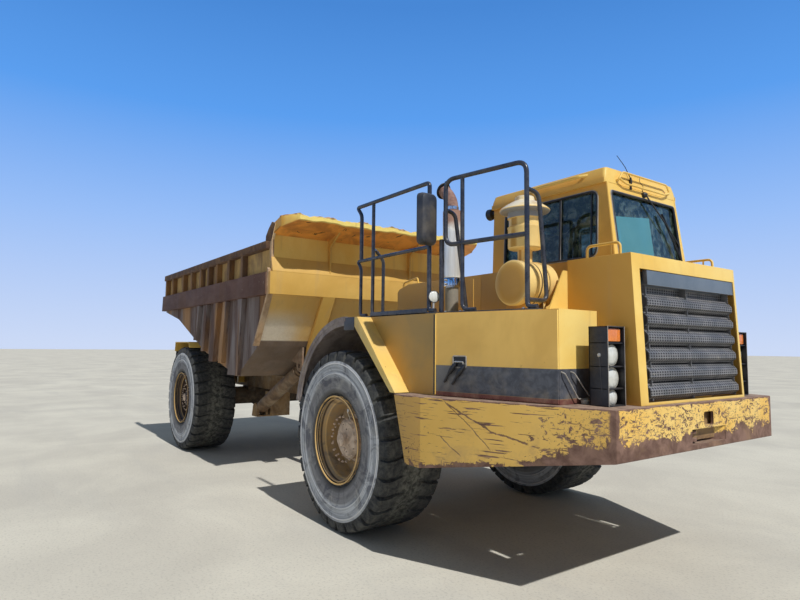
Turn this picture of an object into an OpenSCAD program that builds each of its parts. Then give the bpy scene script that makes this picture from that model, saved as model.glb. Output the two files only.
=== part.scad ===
// Two-axle articulated dump truck.
// X points forward, Y to the left, Z up. The origin is on the ground, under the middle of the truck.

/* [Overall] */
// Distance between the two axles
wheelbase = 5860; // [5700:10:6000]
// Front axle ahead of the origin
front_axle_x = 2265; // [2200:5:2350]
// Width over the tyres
overall_w = 3600; // [3540:10:3700]
// Front axle to the face of the bumper
bumper_reach = 3010; // [2980:5:3060]
// Rear axle to the tail of the bed
tail_reach = 1680; // [1600:10:1760]

/* [Wheels] */
// Radius over the lugs, which is also the height of the hubs
tyre_r = 950; // [930:5:965]
// Width of a tyre
tyre_w = 750; // [700:10:770]
// Height of the lugs
lug_h = 38; // [25:1:45]
// Lugs round one shoulder
lug_n = 24; // [16:1:26]
// Radius of the rim flange
rim_r = 466; // [450:1:480]
// Radius of the wheel hub
hub_r = 215; // [190:5:230]

/* [Bumper] */
// Top of the bumper and of the lower deck
bumper_top = 1513; // [1490:1:1540]
// Bottom of the bumper at its knee
bumper_low_rear = 905; // [860:5:960]
// Bottom of the bumper at its face
bumper_low_front = 1135; // [1090:5:1180]
// Half width of the bumper's face
bumper_face_y = 1200; // [1150:5:1260]
// Knee of the bumper ahead of the front axle
bumper_knee = 1472; // [1440:1:1520]
// Plate of the bumper
bumper_t = 30; // [16:1:40]

/* [Hood] */
// Half width of the hood
hood_y = 840; // [810:5:860]
// Top of the hood
hood_top = 2700; // [2660:5:2740]
// Back edge of the hood ahead of the front axle
hood_back = 2290; // [2260:5:2320]
// Face of the hood at the bumper, ahead of the front axle
hood_face = 2980; // [2960:5:2995]
// How far the face leans back at the top
hood_lean = 130; // [80:5:160]
// Sheet of the hood
hood_t = 12; // [6:1:20]
// Half width of the grille opening
grille_y = 757; // [720:1:780]
// Top of the grille opening
grille_top = 2580; // [2540:5:2620]
// Louvre rows in the grille
louvre_n = 7; // [5:1:9]

/* [Deck boxes] */
// Top of the deck
deck_z = 2250; // [2220:5:2280]
// Half width over the deck boxes
box_y = 1600; // [1560:5:1640]
// Half width of the deck boxes at their face
box_face_y = 1320; // [1280:5:1360]
// Face of the deck boxes ahead of the front axle
box_face = 2580; // [2540:5:2620]
// Seam between the two panels ahead of the front axle
box_seam = 1420; // [1380:5:1460]
// Sheet of the deck boxes
box_t = 20; // [10:1:30]
// Half width over the arches
arch_y = 1770; // [1750:5:1785]

/* [Cab] */
// Half width of the cab at the sills
cab_y = 580; // [560:5:600]
// Half width of the cab under the roof
cab_top_y = 530; // [510:5:560]
// Back of the cab ahead of the front axle
cab_back = 1050; // [1020:5:1090]
// Foot of the windscreen ahead of the front axle
cab_front = 2590; // [2560:5:2610]
// Floor of the cab
cab_floor_z = 2120; // [2100:5:2140]
// Window sills
sill_z = 2740; // [2710:5:2770]
// Underside of the roof
roof_low = 3430; // [3400:5:3450]
// Top of the roof
roof_top = 3555; // [3530:5:3580]
// Wall of the cab
cab_t = 50; // [35:1:60]
// Thickness of the glass
glass_t = 8; // [6:1:12]

/* [Hitch] */
// Steering pin behind the front axle
hitch_back = 1400; // [1360:5:1440]
// Height of the oscillation axis
hitch_z = 1100; // [1080:5:1120]
// Radius of the oscillation trunnion
trunnion_r = 200; // [180:5:210]
// Radius of the steering pins
steer_pin_r = 70; // [60:1:80]

/* [Frames] */
// Half width between the webs of the frame rails
rail_in = 400; // [380:5:410]
// Half width over the frame rails
rail_out = 520; // [515:5:540]
// Top of the front rails
front_rail_top = 1500; // [1480:5:1505]
// Bottom of the front rails
front_rail_low = 1180; // [1160:5:1200]
// Top of the rear rails
rear_rail_top = 1400; // [1380:5:1410]
// Bottom of the rear rails
rear_rail_low = 1130; // [1125:5:1160]

/* [Bed] */
// Half width over the side plates
bed_y = 1700; // [1680:5:1720]
// Half width over the side band
band_y = 1795; // [1770:5:1795]
// Plate of the bed
bed_t = 16; // [12:1:30]
// Top of the sides
bed_top = 3385; // [3350:5:3420]
// Top of the front wall
head_top = 3600; // [3560:5:3640]
// Front wall ahead of the rear axle
bed_front = 3910; // [3880:5:3940]
// Tip of the canopy ahead of the rear axle
canopy_tip = 4460; // [4400:10:4500]
// Underside of the side band
band_low = 2640; // [2620:5:2660]
// Top of the side band
band_high = 2950; // [2930:5:2970]
// Hinge of the bed behind the rear axle
bed_pivot_back = 740; // [700:5:780]
// Height of the hinge of the bed
bed_pivot_z = 1560; // [1540:5:1580]
// Radius of the hinge pins
bed_pin_r = 50; // [40:1:60]

/* [Hoist] */
// Foot pin of the hoist ahead of the rear axle
hoist_foot_x = 1660; // [1600:10:1720]
// Height of the foot pin
hoist_foot_z = 850; // [830:5:870]
// Head pin of the hoist ahead of the rear axle
hoist_head_x = 3330; // [3280:10:3380]
// Height of the head pin
hoist_head_z = 1640; // [1620:5:1660]
// Half distance between the two cylinders
hoist_y = 900; // [880:5:940]
// Radius of the barrel
hoist_r = 105; // [95:1:115]

/* [Hidden] */

$fn = 48;
eps = 1;
knuckle = 1.5;
seat_gap = 0.3;
rear_axle_x = front_axle_x - wheelbase;
hitch_x = front_axle_x - hitch_back;
axle_z = tyre_r;
wheel_y = (overall_w - tyre_w) / 2;
yellow = "#d2a03c";
dark = "#2b2e33";
rust = "#6b4a35";

// Places along the front unit and along the rear unit, measured from their axles
function fx(d) = front_axle_x + d;
function rx(d) = rear_axle_x + d;

// Extrudes an outline given as X and Z across Y
module across(y0, y1) {
    translate([0, y1, 0]) rotate([90, 0, 0]) linear_extrude(y1 - y0) children();
}

// Extrudes an outline given as Y and Z along X
module along(x0, x1) {
    translate([x0, 0, 0]) rotate([90, 0, 90]) linear_extrude(x1 - x0) children();
}

// A block between two corners
module block(a, b) {
    translate(a) cube([b[0] - a[0], b[1] - a[1], b[2] - a[2]]);
}

// The children on the right side, and again mirrored on the left side
module both_sides() {
    children();
    mirror([0, 1, 0]) children();
}

// A round bar between two points
module bar(a, b, r) {
    d = b - a;
    length = norm(d);
    translate(a)
        rotate([0, acos(d[2] / length), atan2(d[1], d[0])])
            cylinder(r = r, h = length);
}

// A tube bent through a list of points, with slightly proud round knuckles at its bends
module bent(points, r) {
    for (i = [0 : len(points) - 2]) bar(points[i], points[i + 1], r);
    if (len(points) > 2)
        for (i = [1 : len(points) - 2]) translate(points[i]) sphere(r = r + knuckle, $fn = 24);
}

// A rectangle with round corners in an outline
module round_rect(a, b, r) {
    square_in = [b[0] - a[0] - 2 * r, b[1] - a[1] - 2 * r];
    translate([a[0] + r, a[1]]) square([square_in[0], square_in[1] + 2 * r]);
    translate([a[0], a[1] + r]) square([square_in[0] + 2 * r, square_in[1]]);
    for (x = [a[0] + r, b[0] - r], y = [a[1] + r, b[1] - r]) translate([x, y]) circle(r = r);
}

// Wheels

tread_r = tyre_r - lug_h;
shoulder_y = tyre_w / 2 - 40;
bead_y = tyre_w / 2 - 80;

module tyre_outline() {
    polygon([
        [rim_r - 7, -bead_y], [rim_r + 16, -bead_y], [rim_r + 24, -bead_y - 32],
        [rim_r + 46, -tyre_w / 2 + 20], [640, -tyre_w / 2], [760, -tyre_w / 2 + 3],
        [860, -shoulder_y - 8], [tread_r, -shoulder_y + 40], [tread_r, shoulder_y - 40],
        [860, shoulder_y + 8], [760, tyre_w / 2 - 3], [640, tyre_w / 2],
        [rim_r + 46, tyre_w / 2 - 20], [rim_r + 24, bead_y + 32], [rim_r + 16, bead_y],
        [rim_r - 7, bead_y], [rim_r - 7, bead_y - 60], [600, bead_y - 30], [800, bead_y - 60],
        [800, -bead_y + 60], [600, -bead_y + 30], [rim_r - 7, -bead_y + 60]]);
}

lug_w = 150;
lug_in = 70;

// One tyre, its outer face at -Y
module tyre() {
    pitch = 360 / lug_n;
    rotate([90, 0, 0]) {
        rotate_extrude($fn = 64) tyre_outline();
        for (i = [0 : lug_n - 1], side = [-1, 1])
            rotate([0, 0, (i + (side > 0 ? 0.5 : 0)) * pitch])
                translate([tread_r - 30, -lug_w / 2, side > 0 ? lug_in : -shoulder_y - 18])
                    cube([lug_h + 26, lug_w, shoulder_y + 18 - lug_in]);
    }
}

dish_y = 60;

module rim_outline() {
    polygon([
        [rim_r - 8, -bead_y + 58], [rim_r - 8, -bead_y - 1], [rim_r + 14, -bead_y - 1],
        [rim_r + 10, -bead_y - 22], [rim_r - 22, -bead_y - 26], [rim_r - 34, -bead_y + 10],
        [rim_r - 66, -bead_y + 40], [rim_r - 80, -dish_y - 30], [hub_r, -dish_y - 60],
        [hub_r, -dish_y - 150], [hub_r - 40, -dish_y - 180], [0, -dish_y - 180],
        [0, -dish_y - 120], [140, -dish_y - 120], [140, dish_y + 60], [hub_r, dish_y + 60],
        [hub_r, -dish_y + 20], [rim_r - 60, -dish_y + 20], [rim_r - 40, bead_y - 10],
        [rim_r - 22, bead_y + 22], [rim_r + 10, bead_y + 20], [rim_r + 14, bead_y + 1],
        [rim_r - 8, bead_y + 1],
        [rim_r - 8, bead_y - 58], [rim_r - 20, bead_y - 70], [rim_r - 20, -bead_y + 70]]);
}

// One rim with its hub, its deep dish at -Y
module rim() {
    rotate([90, 0, 0]) mirror([0, 0, 1]) rotate_extrude($fn = 64) rim_outline();
}

module at_wheel(x, side) {
    translate([x, side * wheel_y, axle_z]) rotate([0, 0, side > 0 ? 180 : 0]) children();
}

// Front frame

frame_front = bumper_reach - bumper_t - 5;
lug_plate_t = 60;
upper_lug_z = 1400;
lower_lug_z = 760;
frame_end = -900;
strut_seat_z = 1240;

module front_frame() color("#8d7440") {
    difference() {
        union() {
            both_sides() {
                block([fx(frame_end), rail_in, front_rail_low],
                    [fx(bumper_reach - 210), rail_out, front_rail_top]);
                block([fx(bumper_reach - 211), rail_in, front_rail_low],
                    [fx(frame_front), rail_out, bumper_top - bumper_t - seat_gap]);
                block([fx(-130), rail_out - eps, strut_seat_z],
                    [fx(130), 740, strut_seat_z + 40]);
                for (z = [steer_z - 77, steer_z + 47])
                    translate([hitch_x + steer_foot[0], -steer_foot[1], z]) linear_extrude(30) {
                        circle(r = 90);
                        translate([-50, rail_out + steer_foot[1] - eps])
                            square([160, -steer_foot[1] - rail_out + eps]);
                    }
                translate([hitch_x + steer_foot[0], -steer_foot[1], steer_z - 77])
                    cylinder(r = 35, h = 154);
            }
            for (x = [frame_end, -450, 1250, frame_front - 120])
                block([fx(x), -rail_in - eps, front_rail_low + 20],
                    [fx(x + 100), rail_in + eps, front_rail_top - 20]);
            block([fx(frame_end - 60), -rail_out + 30, lower_lug_z],
                [fx(frame_end), rail_out - 30, front_rail_top]);
            for (z = [lower_lug_z, upper_lug_z]) hitch_lug(z);
            both_sides() {
                for (x = [cab_back + 40, cab_front - 240])
                    block([fx(x), rail_in + 20, front_rail_top - eps],
                        [fx(x + 120), rail_out - 20, cab_floor_z - seat_gap]);
                for (x = [cab_back - 500, cab_back - 1200])
                    block([fx(x), rail_in + 20, front_rail_top - eps],
                        [fx(x + 90), rail_out - 20, casing_low - seat_gap]);
            }
        }
        translate([hitch_x, 0, lower_lug_z - eps])
            cylinder(r = steer_pin_r + 0.5, h = upper_lug_z + lug_plate_t - lower_lug_z + 2 * eps);
    }
}

module hitch_lug(z) {
    translate([0, 0, z]) linear_extrude(lug_plate_t) {
        translate([hitch_x, 0]) circle(r = 170);
        polygon([[hitch_x, -170], [fx(frame_end - 30), -330], [fx(frame_end - 30), 330],
            [hitch_x, 170]]);
    }
}

// Bumper

bumper_rear_top = 1082;
bumper_rear_low = 1260;

module bumper_plan(t) {
    k = t * 0.2;
    polygon([
        [fx(bumper_rear_top - 100), -overall_w / 2 + t], [fx(bumper_knee - k), -overall_w / 2 + t],
        [fx(bumper_reach - t), -bumper_face_y + k * 3], [fx(bumper_reach - t), bumper_face_y - k * 3],
        [fx(bumper_knee - k), overall_w / 2 - t], [fx(bumper_rear_top - 100), overall_w / 2 - t]]);
}

module front_bumper() color(yellow) {
    difference() {
        intersection() {
            linear_extrude(bumper_top) bumper_plan(0);
            across(-overall_w, overall_w)
                polygon([
                    [fx(bumper_rear_top), bumper_top], [fx(bumper_rear_low), bumper_low_rear],
                    [fx(bumper_knee), bumper_low_rear], [fx(bumper_reach), bumper_low_front],
                    [fx(bumper_reach), bumper_top]]);
        }
        translate([0, 0, -eps]) linear_extrude(bumper_top - bumper_t + eps) bumper_plan(bumper_t);
        block([fx(0), -hood_y - 40, 0], [fx(bumper_reach - 200), hood_y + 40, bumper_top + eps]);
        along(fx(bumper_reach - 100), fx(bumper_reach + 10)) {
            round_rect([-90, 1310], [90, 1445], 25);
            polygon([[-275, 1000], [-275, 1310], [-80, 1310], [275, 1240], [275, 1000]]);
        }
    }
}

// Hood and grille

module hood_side(t) {
    polygon([
        [fx(hood_back - (t > 0 ? 10 : 0)), bumper_top - (t > 0 ? 10 : 0)],
        [fx(hood_face - t), bumper_top - (t > 0 ? 10 : 0)],
        [fx(hood_face - hood_lean - t), hood_top - t],
        [fx(hood_back - (t > 0 ? 10 : 0)), hood_top - t]]);
}

module hood() color(yellow) {
    difference() {
        across(-hood_y, hood_y) hood_side(0);
        across(-hood_y + hood_t, hood_y - hood_t) hood_side(hood_t);
        along(fx(hood_back + 400), fx(hood_face + 50))
            translate([-grille_y, bumper_top + 22])
                square([2 * grille_y, grille_top - bumper_top - 22]);
        block([fx(hood_back - 10), -cab_y - 15, sill_z - 200],
            [fx(cab_front + 20), cab_y + 15, hood_top + 10]);
    }
    both_sides() {
        along(fx(hood_back - hood_t), fx(hood_back))
            polygon([[-hood_y - 180, deck_z + 1], [-hood_y + 20, deck_z + 1], [-hood_y + 20, 2610],
                [-hood_y - 50, 2610]]);
        bent([
            [fx(2400), -hood_y + 110, hood_top - 5], [fx(2400), -hood_y + 110, hood_top + 110],
            [fx(2430), -hood_y + 110, hood_top + 135], [fx(2690), -hood_y + 110, hood_top + 135],
            [fx(2720), -hood_y + 110, hood_top + 110], [fx(2720), -hood_y + 110, hood_top - 5]], 14);
    }
}

grille_header = 2400;
grille_t = 8;

function hood_face_x(z) =
    fx(hood_face - hood_lean * (z - bumper_top) / (hood_top - bumper_top));

module grille() color(dark) {
    low = bumper_top + 26;
    pitch = (grille_header - low) / louvre_n;
    gy = grille_y - seat_gap;
    across(-gy, gy)
        polygon([
            [hood_face_x(grille_header) - 45, grille_header], [hood_face_x(grille_header) - 10, grille_header],
            [hood_face_x(grille_top) - 10, grille_top - 4], [hood_face_x(grille_top) - 45, grille_top - 4]]);
    for (i = [0 : louvre_n - 1]) {
        z0 = low + i * pitch;
        x = hood_face_x(z0);
        across(-gy, gy)
            polygon([
                [x - 70, z0 + 12], [x - 12, z0 + 12], [x - 24, z0 + pitch * 0.72],
                [x - 78, z0 + pitch * 0.95], [x - 82, z0 + pitch * 0.88], [x - 34, z0 + pitch * 0.68],
                [x - 24, z0 + 24], [x - 70, z0 + 24]]);
    }
    both_sides()
        across(-gy, -gy + 14)
            polygon([
                [hood_face_x(low) - 110, low], [hood_face_x(low) - 60, low],
                [hood_face_x(grille_top) - 40, grille_top - 4], [hood_face_x(grille_top) - 110, grille_top - 4]]);
}

// Deck boxes, arches and lamps

strut_top = [330, deck_z - 20];
strut_low = [1050, bumper_top + 4];

module box_plan(t) {
    polygon([
        [fx(0), -box_y + t], [fx(box_seam), -box_y + t], [fx(box_face - t), -box_face_y + t],
        [fx(box_face - t), -hood_y - 3 - t], [fx(hood_back - hood_t - 4 - t), -hood_y - 3 - t],
        [fx(hood_back - hood_t - 4 - t), -cab_y - 8 - t], [fx(0), -cab_y - 8 - t]]);
}

module box_side(t) {
    s = t > 0 ? t * 1.45 : 0;
    polygon([
        [fx(strut_top[0] + s), deck_z - t], [fx(3000), deck_z - t], [fx(3000), bumper_top + 2 + t],
        [fx(strut_low[0] + s), bumper_top + 2 + t]]);
}

module deck_box() {
    difference() {
        intersection() {
            linear_extrude(deck_z) box_plan(0);
            across(-overall_w, 0) box_side(0);
        }
        intersection() {
            linear_extrude(deck_z - box_t) box_plan(box_t);
            across(-overall_w, 0) box_side(box_t);
        }
    }
}

module deck_boxes() color(yellow) both_sides() deck_box();

arch_points = [[128, 2245], [-330, 2150], [-760, 1780], [-990, 1320]];
arch_t = 28;
arch_in = 730;

module arch_sheet(last) {
    outer = [for (i = [0 : last]) [fx(arch_points[i][0]), arch_points[i][1]]];
    inner = [for (i = [last : -1 : 0])
        [fx(arch_points[i][0] + (i == 0 ? 0 : arch_t)), arch_points[i][1] - arch_t]];
    polygon(concat(outer, inner));
}

module arch() {
    across(-arch_y, -arch_in) arch_sheet(3);
    across(-arch_in - eps, -cab_y - seat_gap) arch_sheet(2);
    across(-arch_y, -cab_y - seat_gap)
        polygon([[fx(120), 2100], [fx(300), 2100], [fx(300), 2246], [fx(120), 2246]]);
    across(-arch_y, -box_y - 1)
        polygon([
            [fx(300), 2246], [fx(300), 2150], [fx(strut_low[0] - 80), bumper_top + 4],
            [fx(strut_low[0]), bumper_top + 4], [fx(strut_top[0] + 20), 2246]]);
}

module wheel_arches() color("#4a4a46") both_sides() arch();

lamp_low = bumper_top + seat_gap;
lamp_top = 2115;

module headlamps() color(dark) both_sides() {
    difference() {
        block([fx(2700), -1175, lamp_low], [fx(2890), -930, lamp_top]);
        block([fx(2760), -1165, lamp_low + 10], [fx(2891), -940, lamp_top - 10]);
    }
    for (row = [[1600, 72], [1752, 72], [1895, 60], [2035, 60]])
        translate([fx(2755), -1052, row[0]])
            rotate([0, 90, 0]) cylinder(r = row[1], h = 90);
}

// Cab

module cab_front_view(t) {
    polygon([
        [-cab_y + t, cab_floor_z + t], [cab_y - t, cab_floor_z + t], [cab_y - t, sill_z],
        [cab_top_y - t, roof_low + (t > 0 ? eps : 0)],
        [-cab_top_y + t, roof_low + (t > 0 ? eps : 0)], [-cab_y + t, sill_z]]);
}

module cab_side_view(t) {
    polygon([
        [fx(cab_back + t), cab_floor_z + t], [fx(cab_front - t), cab_floor_z + t],
        [fx(cab_front - t), sill_z + 50], [fx(cab_front - 105 - t), roof_low + (t > 0 ? eps : 0)],
        [fx(cab_back + t), roof_low + (t > 0 ? eps : 0)]]);
}

module cab_solid(t) {
    intersection() {
        along(fx(0), fx(3000)) cab_front_view(t);
        across(-1000, 1000) cab_side_view(t);
    }
}

win_top = 3360;
win_r = 80;
right_win = [1250, 2410];
door_x = [1300, 2010];
door_low = deck_z + 20;
left_win = [2080, 2410];
screen_y = 500;
screen_low = 2800;

module cab_windows(grow) {
    across(-1000, -300)
        round_rect([fx(right_win[0] - grow), sill_z - grow], [fx(right_win[1] + grow), win_top + grow],
            win_r);
    across(300, 1000)
        round_rect([fx(left_win[0] - grow), sill_z - grow], [fx(left_win[1] + grow), win_top + grow],
            win_r);
    along(fx(2000), fx(3000))
        round_rect([-screen_y - grow, screen_low - grow], [screen_y + grow, win_top - 20 + grow], 60);
    along(fx(800), fx(1500))
        round_rect([-380 - grow, 2800 - grow], [380 + grow, win_top - 60 + grow], 60);
}

hinge_pin_r = 12;
hinge_y = cab_y + 24;
hinge_z = [2330, 2620];

module cab_shell() color(yellow) {
    difference() {
        cab_solid(0);
        cab_solid(cab_t);
        cab_windows(0);
        block([fx(door_x[0]), 300, door_low], [fx(door_x[1]), 1000, win_top]);
    }
    for (z = hinge_z) {
        block([fx(door_x[0] - 90), cab_y - eps, z], [fx(door_x[0]), hinge_y + 6, z + 30]);
        translate([fx(door_x[0]), hinge_y, z]) cylinder(r = 20, h = 30);
        translate([fx(door_x[0]), hinge_y, z]) cylinder(r = hinge_pin_r, h = 75);
    }
}

module cab_glass() color("#7fa8a8") intersection() {
    difference() {
        cab_solid(20);
        cab_solid(20 + glass_t);
    }
    cab_windows(-0.5);
}

door_gap = 6;

module cab_door_area(inset) {
    block([fx(door_x[0] + inset), 300, door_low + inset], [fx(door_x[1] - inset), 1000, win_top - inset]);
}

module door_window(grow) {
    across(300, 1000)
        round_rect([fx(door_x[0] + 80 - grow), sill_z - grow],
            [fx(door_x[1] - 80 + grow), win_top - 70 + grow], 60);
}

module cab_door() color(yellow) difference() {
    union() {
        intersection() {
            difference() {
                cab_solid(0);
                cab_solid(cab_t - 10);
            }
            cab_door_area(door_gap);
        }
        for (z = hinge_z) {
            translate([fx(door_x[0]), hinge_y, z + 30 + seat_gap]) cylinder(r = 20, h = 44);
            block([fx(door_x[0]), hinge_y - 6, z + 30 + seat_gap], [fx(door_x[0] + 90), hinge_y + 6, z + 74]);
            block([fx(door_x[0] + 60), cab_y - eps, z + 30 + seat_gap],
                [fx(door_x[0] + 90), hinge_y + 6, z + 74]);
        }
    }
    door_window(0);
    for (z = hinge_z) translate([fx(door_x[0]), hinge_y, z + 29]) cylinder(r = hinge_pin_r + 0.3, h = 60);
}

module cab_door_glass() color("#7fa8a8") intersection() {
    difference() {
        cab_solid(20);
        cab_solid(20 + glass_t);
    }
    door_window(-0.5);
}

module cab_roof() color(yellow) {
    difference() {
        intersection() {
            along(fx(cab_back - 40), fx(cab_front))
                polygon([[-560, roof_low + 0.3], [560, roof_low + 0.3], [520, roof_top], [-520, roof_top]]);
            across(-1000, 1000)
                polygon([
                    [fx(cab_back - 10), roof_low + 0.3], [fx(cab_front - 95), roof_low + 0.3],
                    [fx(cab_front - 140), roof_top], [fx(cab_back - 40), roof_top]]);
        }
        block([fx(cab_back + 40), -460, roof_low - eps], [fx(cab_front - 210), 460, roof_top - 30]);
    }
    bent([
        [fx(cab_front - 125), -340, roof_top - 95], [fx(cab_front - 60), -340, roof_top - 85],
        [fx(cab_front - 60), -240, roof_top - 30], [fx(cab_front - 60), 240, roof_top - 30],
        [fx(cab_front - 60), 340, roof_top - 85], [fx(cab_front - 125), 340, roof_top - 95]], 14);
    both_sides()
        bent([
            [fx(1640), -530, roof_top - 40], [fx(1680), -590, roof_top - 45],
            [fx(2180), -590, roof_top - 45], [fx(2220), -530, roof_top - 50]], 13);
}

seat_x = 1500;

module cab_seat() color("#33353a") {
    block([fx(seat_x), -250, cab_floor_z + cab_t + 0.3], [fx(seat_x + 420), 250, cab_floor_z + 330]);
    block([fx(seat_x - 60), -270, cab_floor_z + 330], [fx(seat_x + 480), 270, cab_floor_z + 480]);
    translate([fx(seat_x), -260, cab_floor_z + 470]) rotate([0, -8, 0]) cube([140, 520, 560]);
}

module cab_console() color("#2d2f33") {
    block([fx(cab_front - 320), -cab_y + cab_t + 1, cab_floor_z + cab_t + 0.3],
        [fx(cab_front - cab_t - 2), cab_y - cab_t - 1, sill_z - 40]);
    bar([fx(cab_front - 300), 0, sill_z - 80], [fx(cab_front - 420), 0, sill_z + 60], 25);
    translate([fx(cab_front - 420), 0, sill_z + 60]) rotate([0, -40, 0])
        rotate_extrude() translate([200, 0]) circle(r = 16, $fn = 24);
    translate([fx(cab_front - 420), 0, sill_z + 60]) rotate([0, -40, 0])
        for (a = [0, 120, 240]) rotate([0, 0, a]) block([0, -14, -8], [200, 14, 8]);
}

// Rails, exhaust, air cleaner, casing, mirrors

rail_r = 21;
rail_y = box_y - 30;

module deck_rail() {
    z = 3480;
    low = deck_z + 25;
    bent([
        [fx(60), -rail_y, low], [fx(60), -rail_y, 2840], [fx(110), -rail_y, 2900],
        [fx(110), -rail_y, 3400], [fx(60), -rail_y, 3450], [fx(90), -rail_y, z],
        [fx(1240), -rail_y, z], [fx(1300), -rail_y, z - 60], [fx(1300), -rail_y, deck_z + 100],
        [fx(1360), -rail_y + 30, low]], rail_r);
    bar([fx(60), -rail_y, 2880], [fx(1300), -rail_y, 2880], rail_r - 4);
    block([fx(40), -rail_y - 40, deck_z + 0.3], [fx(1400), -rail_y + 60, deck_z + 12]);
    bent([
        [fx(1450), -1500, low], [fx(1450), -1500, z - 60], [fx(1510), -1489, z],
        [fx(2230), -1356, z], [fx(2290), -1345, z - 60], [fx(2290), -1345, low]], rail_r);
    bent([
        [fx(2290), -1345, z - 120], [fx(2380), -1300, z - 150], [fx(2500), -1200, deck_z + 60]],
        rail_r - 2);
    bar([fx(1450), -1500, 2960], [fx(2290), -1345, 2960], rail_r - 4);
    bar([fx(1720), -1450, low], [fx(1720), -1450, z], rail_r - 4);
    for (foot = [[1450, -1500], [1720, -1450], [2290, -1345], [2500, -1200]])
        translate([fx(foot[0]), foot[1], deck_z + seat_gap]) cylinder(r = 55, h = 60);
}

module deck_rails() color(dark) both_sides() deck_rail();

stack = [1100, -1120];

module exhaust() color("#8a8580") translate([fx(stack[0]), stack[1], 0]) {
    translate([0, 0, deck_z + 0.3]) cylinder(r = 70, h = 300);
    translate([0, 0, 2550]) cylinder(r = 84, h = 80);
    translate([0, 0, 2630]) cylinder(r = 92, h = 570);
    translate([0, 0, 3200]) cylinder(r = 62, h = 180);
    bent([[0, 0, 3300], [0, 0, 3420], [-90, 0, 3520]], 60);
}

module air_cleaner() color(yellow) {
    translate([fx(2020), -850, 2500]) rotate([90, 0, 0]) {
        cylinder(r = 198, h = 400);
        translate([0, 0, 90]) cylinder(r = 204, h = 22);
        translate([0, 0, 250]) cylinder(r = 204, h = 22);
    }
    translate([fx(2000), -1050, 0]) {
        translate([0, 0, 2690]) cylinder(r = 100, h = 120);
        translate([0, 0, 2800]) cylinder(r = 148, h = 330);
        translate([0, 0, 3130]) cylinder(r1 = 205, r2 = 60, h = 110);
    }
    block([fx(1900), -1200, deck_z + 0.3], [fx(2140), -900, deck_z + 120]);
}

casing_low = 1760;
casing_y = 730;
casing_top = 2700;

module rear_casing() color(yellow) {
    across(-casing_y, casing_y)
        polygon([
            [fx(-380), deck_z + seat_gap], [fx(-380), 2430], [fx(-120), casing_top],
            [fx(cab_back - seat_gap), casing_top], [fx(cab_back - seat_gap), deck_z + seat_gap]]);
    across(-cab_y, cab_y)
        polygon([
            [fx(-380), casing_low], [fx(-380), deck_z + 10], [fx(cab_back - seat_gap), deck_z + 10],
            [fx(cab_back - seat_gap), casing_low]]);
}

module mirrors() color(dark) both_sides() {
    mirror_head();
    bar([fx(1330), -rail_y, 3180], [fx(1360), -rail_y - 40, 3180], 12);
}

module mirror_head() {
    block([fx(1345), -1760, 2870], [fx(1430), -1560, 3350]);
}

// Axles

module axle(x) {
    end = wheel_y + 90;
    translate([x, 0, axle_z]) rotate([90, 0, 0]) rotate_extrude()
        polygon([
            [0, -end], [139, -end], [139, -wheel_y + 126], [170, -wheel_y + 180], [170, -395],
            [310, -200], [310, 200], [170, 395], [170, wheel_y - 180], [139, wheel_y - 126],
            [139, end], [0, end]]);
}

module front_axle() color("#6a6450") {
    axle(fx(0));
    both_sides() translate([fx(0), -640, axle_z + 100])
        cylinder(r = 75, h = strut_seat_z - seat_gap - axle_z - 100);
    bar([fx(frame_end) + seat_gap, 0, axle_z], [fx(-200), 0, axle_z], 60);
}

module rear_axle() color("#6a6450") {
    axle(rx(0));
    both_sides() block([rx(-150), -rail_out - 20, axle_z - 60], [rx(150), -rail_in + 20, rear_rail_low - 0.3]);
    bar([rx(300), 0, axle_z], [rx(1000), 0, axle_z + 40], 60);
}

// Hitch and steering cylinders

steer_foot = [1040, -760];
steer_eye = [-100, -430];
steer_z = 1300;
steer_vec = steer_eye - steer_foot;
steer_len = norm(steer_vec);
steer_angle = atan2(steer_vec[1], steer_vec[0]);
steer_rod_r = 40;
steer_bore_r = steer_rod_r + 0.5;
steer_neck = 112;
steer_floor = 135;
steer_barrel_end = 790;
steer_rod_start = 440;
steer_eye_r = 65;

module hitch() color("#7a6a44") {
    translate([hitch_x, 0, lower_lug_z])
        cylinder(r = steer_pin_r, h = upper_lug_z + lug_plate_t - lower_lug_z);
    block([hitch_x - 210, -190, lower_lug_z + lug_plate_t + 6], [hitch_x + 130, 190, upper_lug_z - 6]);
    translate([hitch_x - 700, 0, hitch_z]) rotate([0, 90, 0]) cylinder(r = trunnion_r, h = 600);
    both_sides()
        for (z = [steer_z - 80, steer_z + 50])
            translate([hitch_x, 0, z]) linear_extrude(30) difference() {
                polygon([[-165, -189], [-165, -450], [-130, -492], [-70, -492], [-35, -450], [-35, -189]]);
                translate(steer_eye) circle(r = 30);
            }
}

// The right steering cylinder lies along +X from its foot pin
module at_steer_foot() {
    translate([hitch_x + steer_foot[0], steer_foot[1], steer_z]) rotate([0, 0, steer_angle]) children();
}

module steer_barrels() color(dark) both_sides() {
    at_steer_foot() difference() {
        union() {
            translate([steer_neck, 0, 0]) rotate([0, 90, 0])
                cylinder(r = 70, h = steer_barrel_end - steer_neck);
            block([0, -45, -44], [steer_neck + eps, 45, 44]);
            translate([0, 0, -46]) cylinder(r = 80, h = 92);
        }
        translate([steer_floor, 0, 0]) rotate([0, 90, 0])
            cylinder(r = steer_bore_r, h = steer_barrel_end);
        translate([0, 0, -50]) cylinder(r = 35.3, h = 100);
    }
}

module steer_rod() {
    at_steer_foot() difference() {
        union() {
            translate([steer_rod_start, 0, 0]) rotate([0, 90, 0])
                cylinder(r = steer_rod_r, h = steer_len - 30 - steer_rod_start);
            translate([steer_len, 0, -45]) cylinder(r = steer_eye_r, h = 90);
        }
        translate([steer_len, 0, -50]) cylinder(r = 30, h = 100);
    }
}

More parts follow.
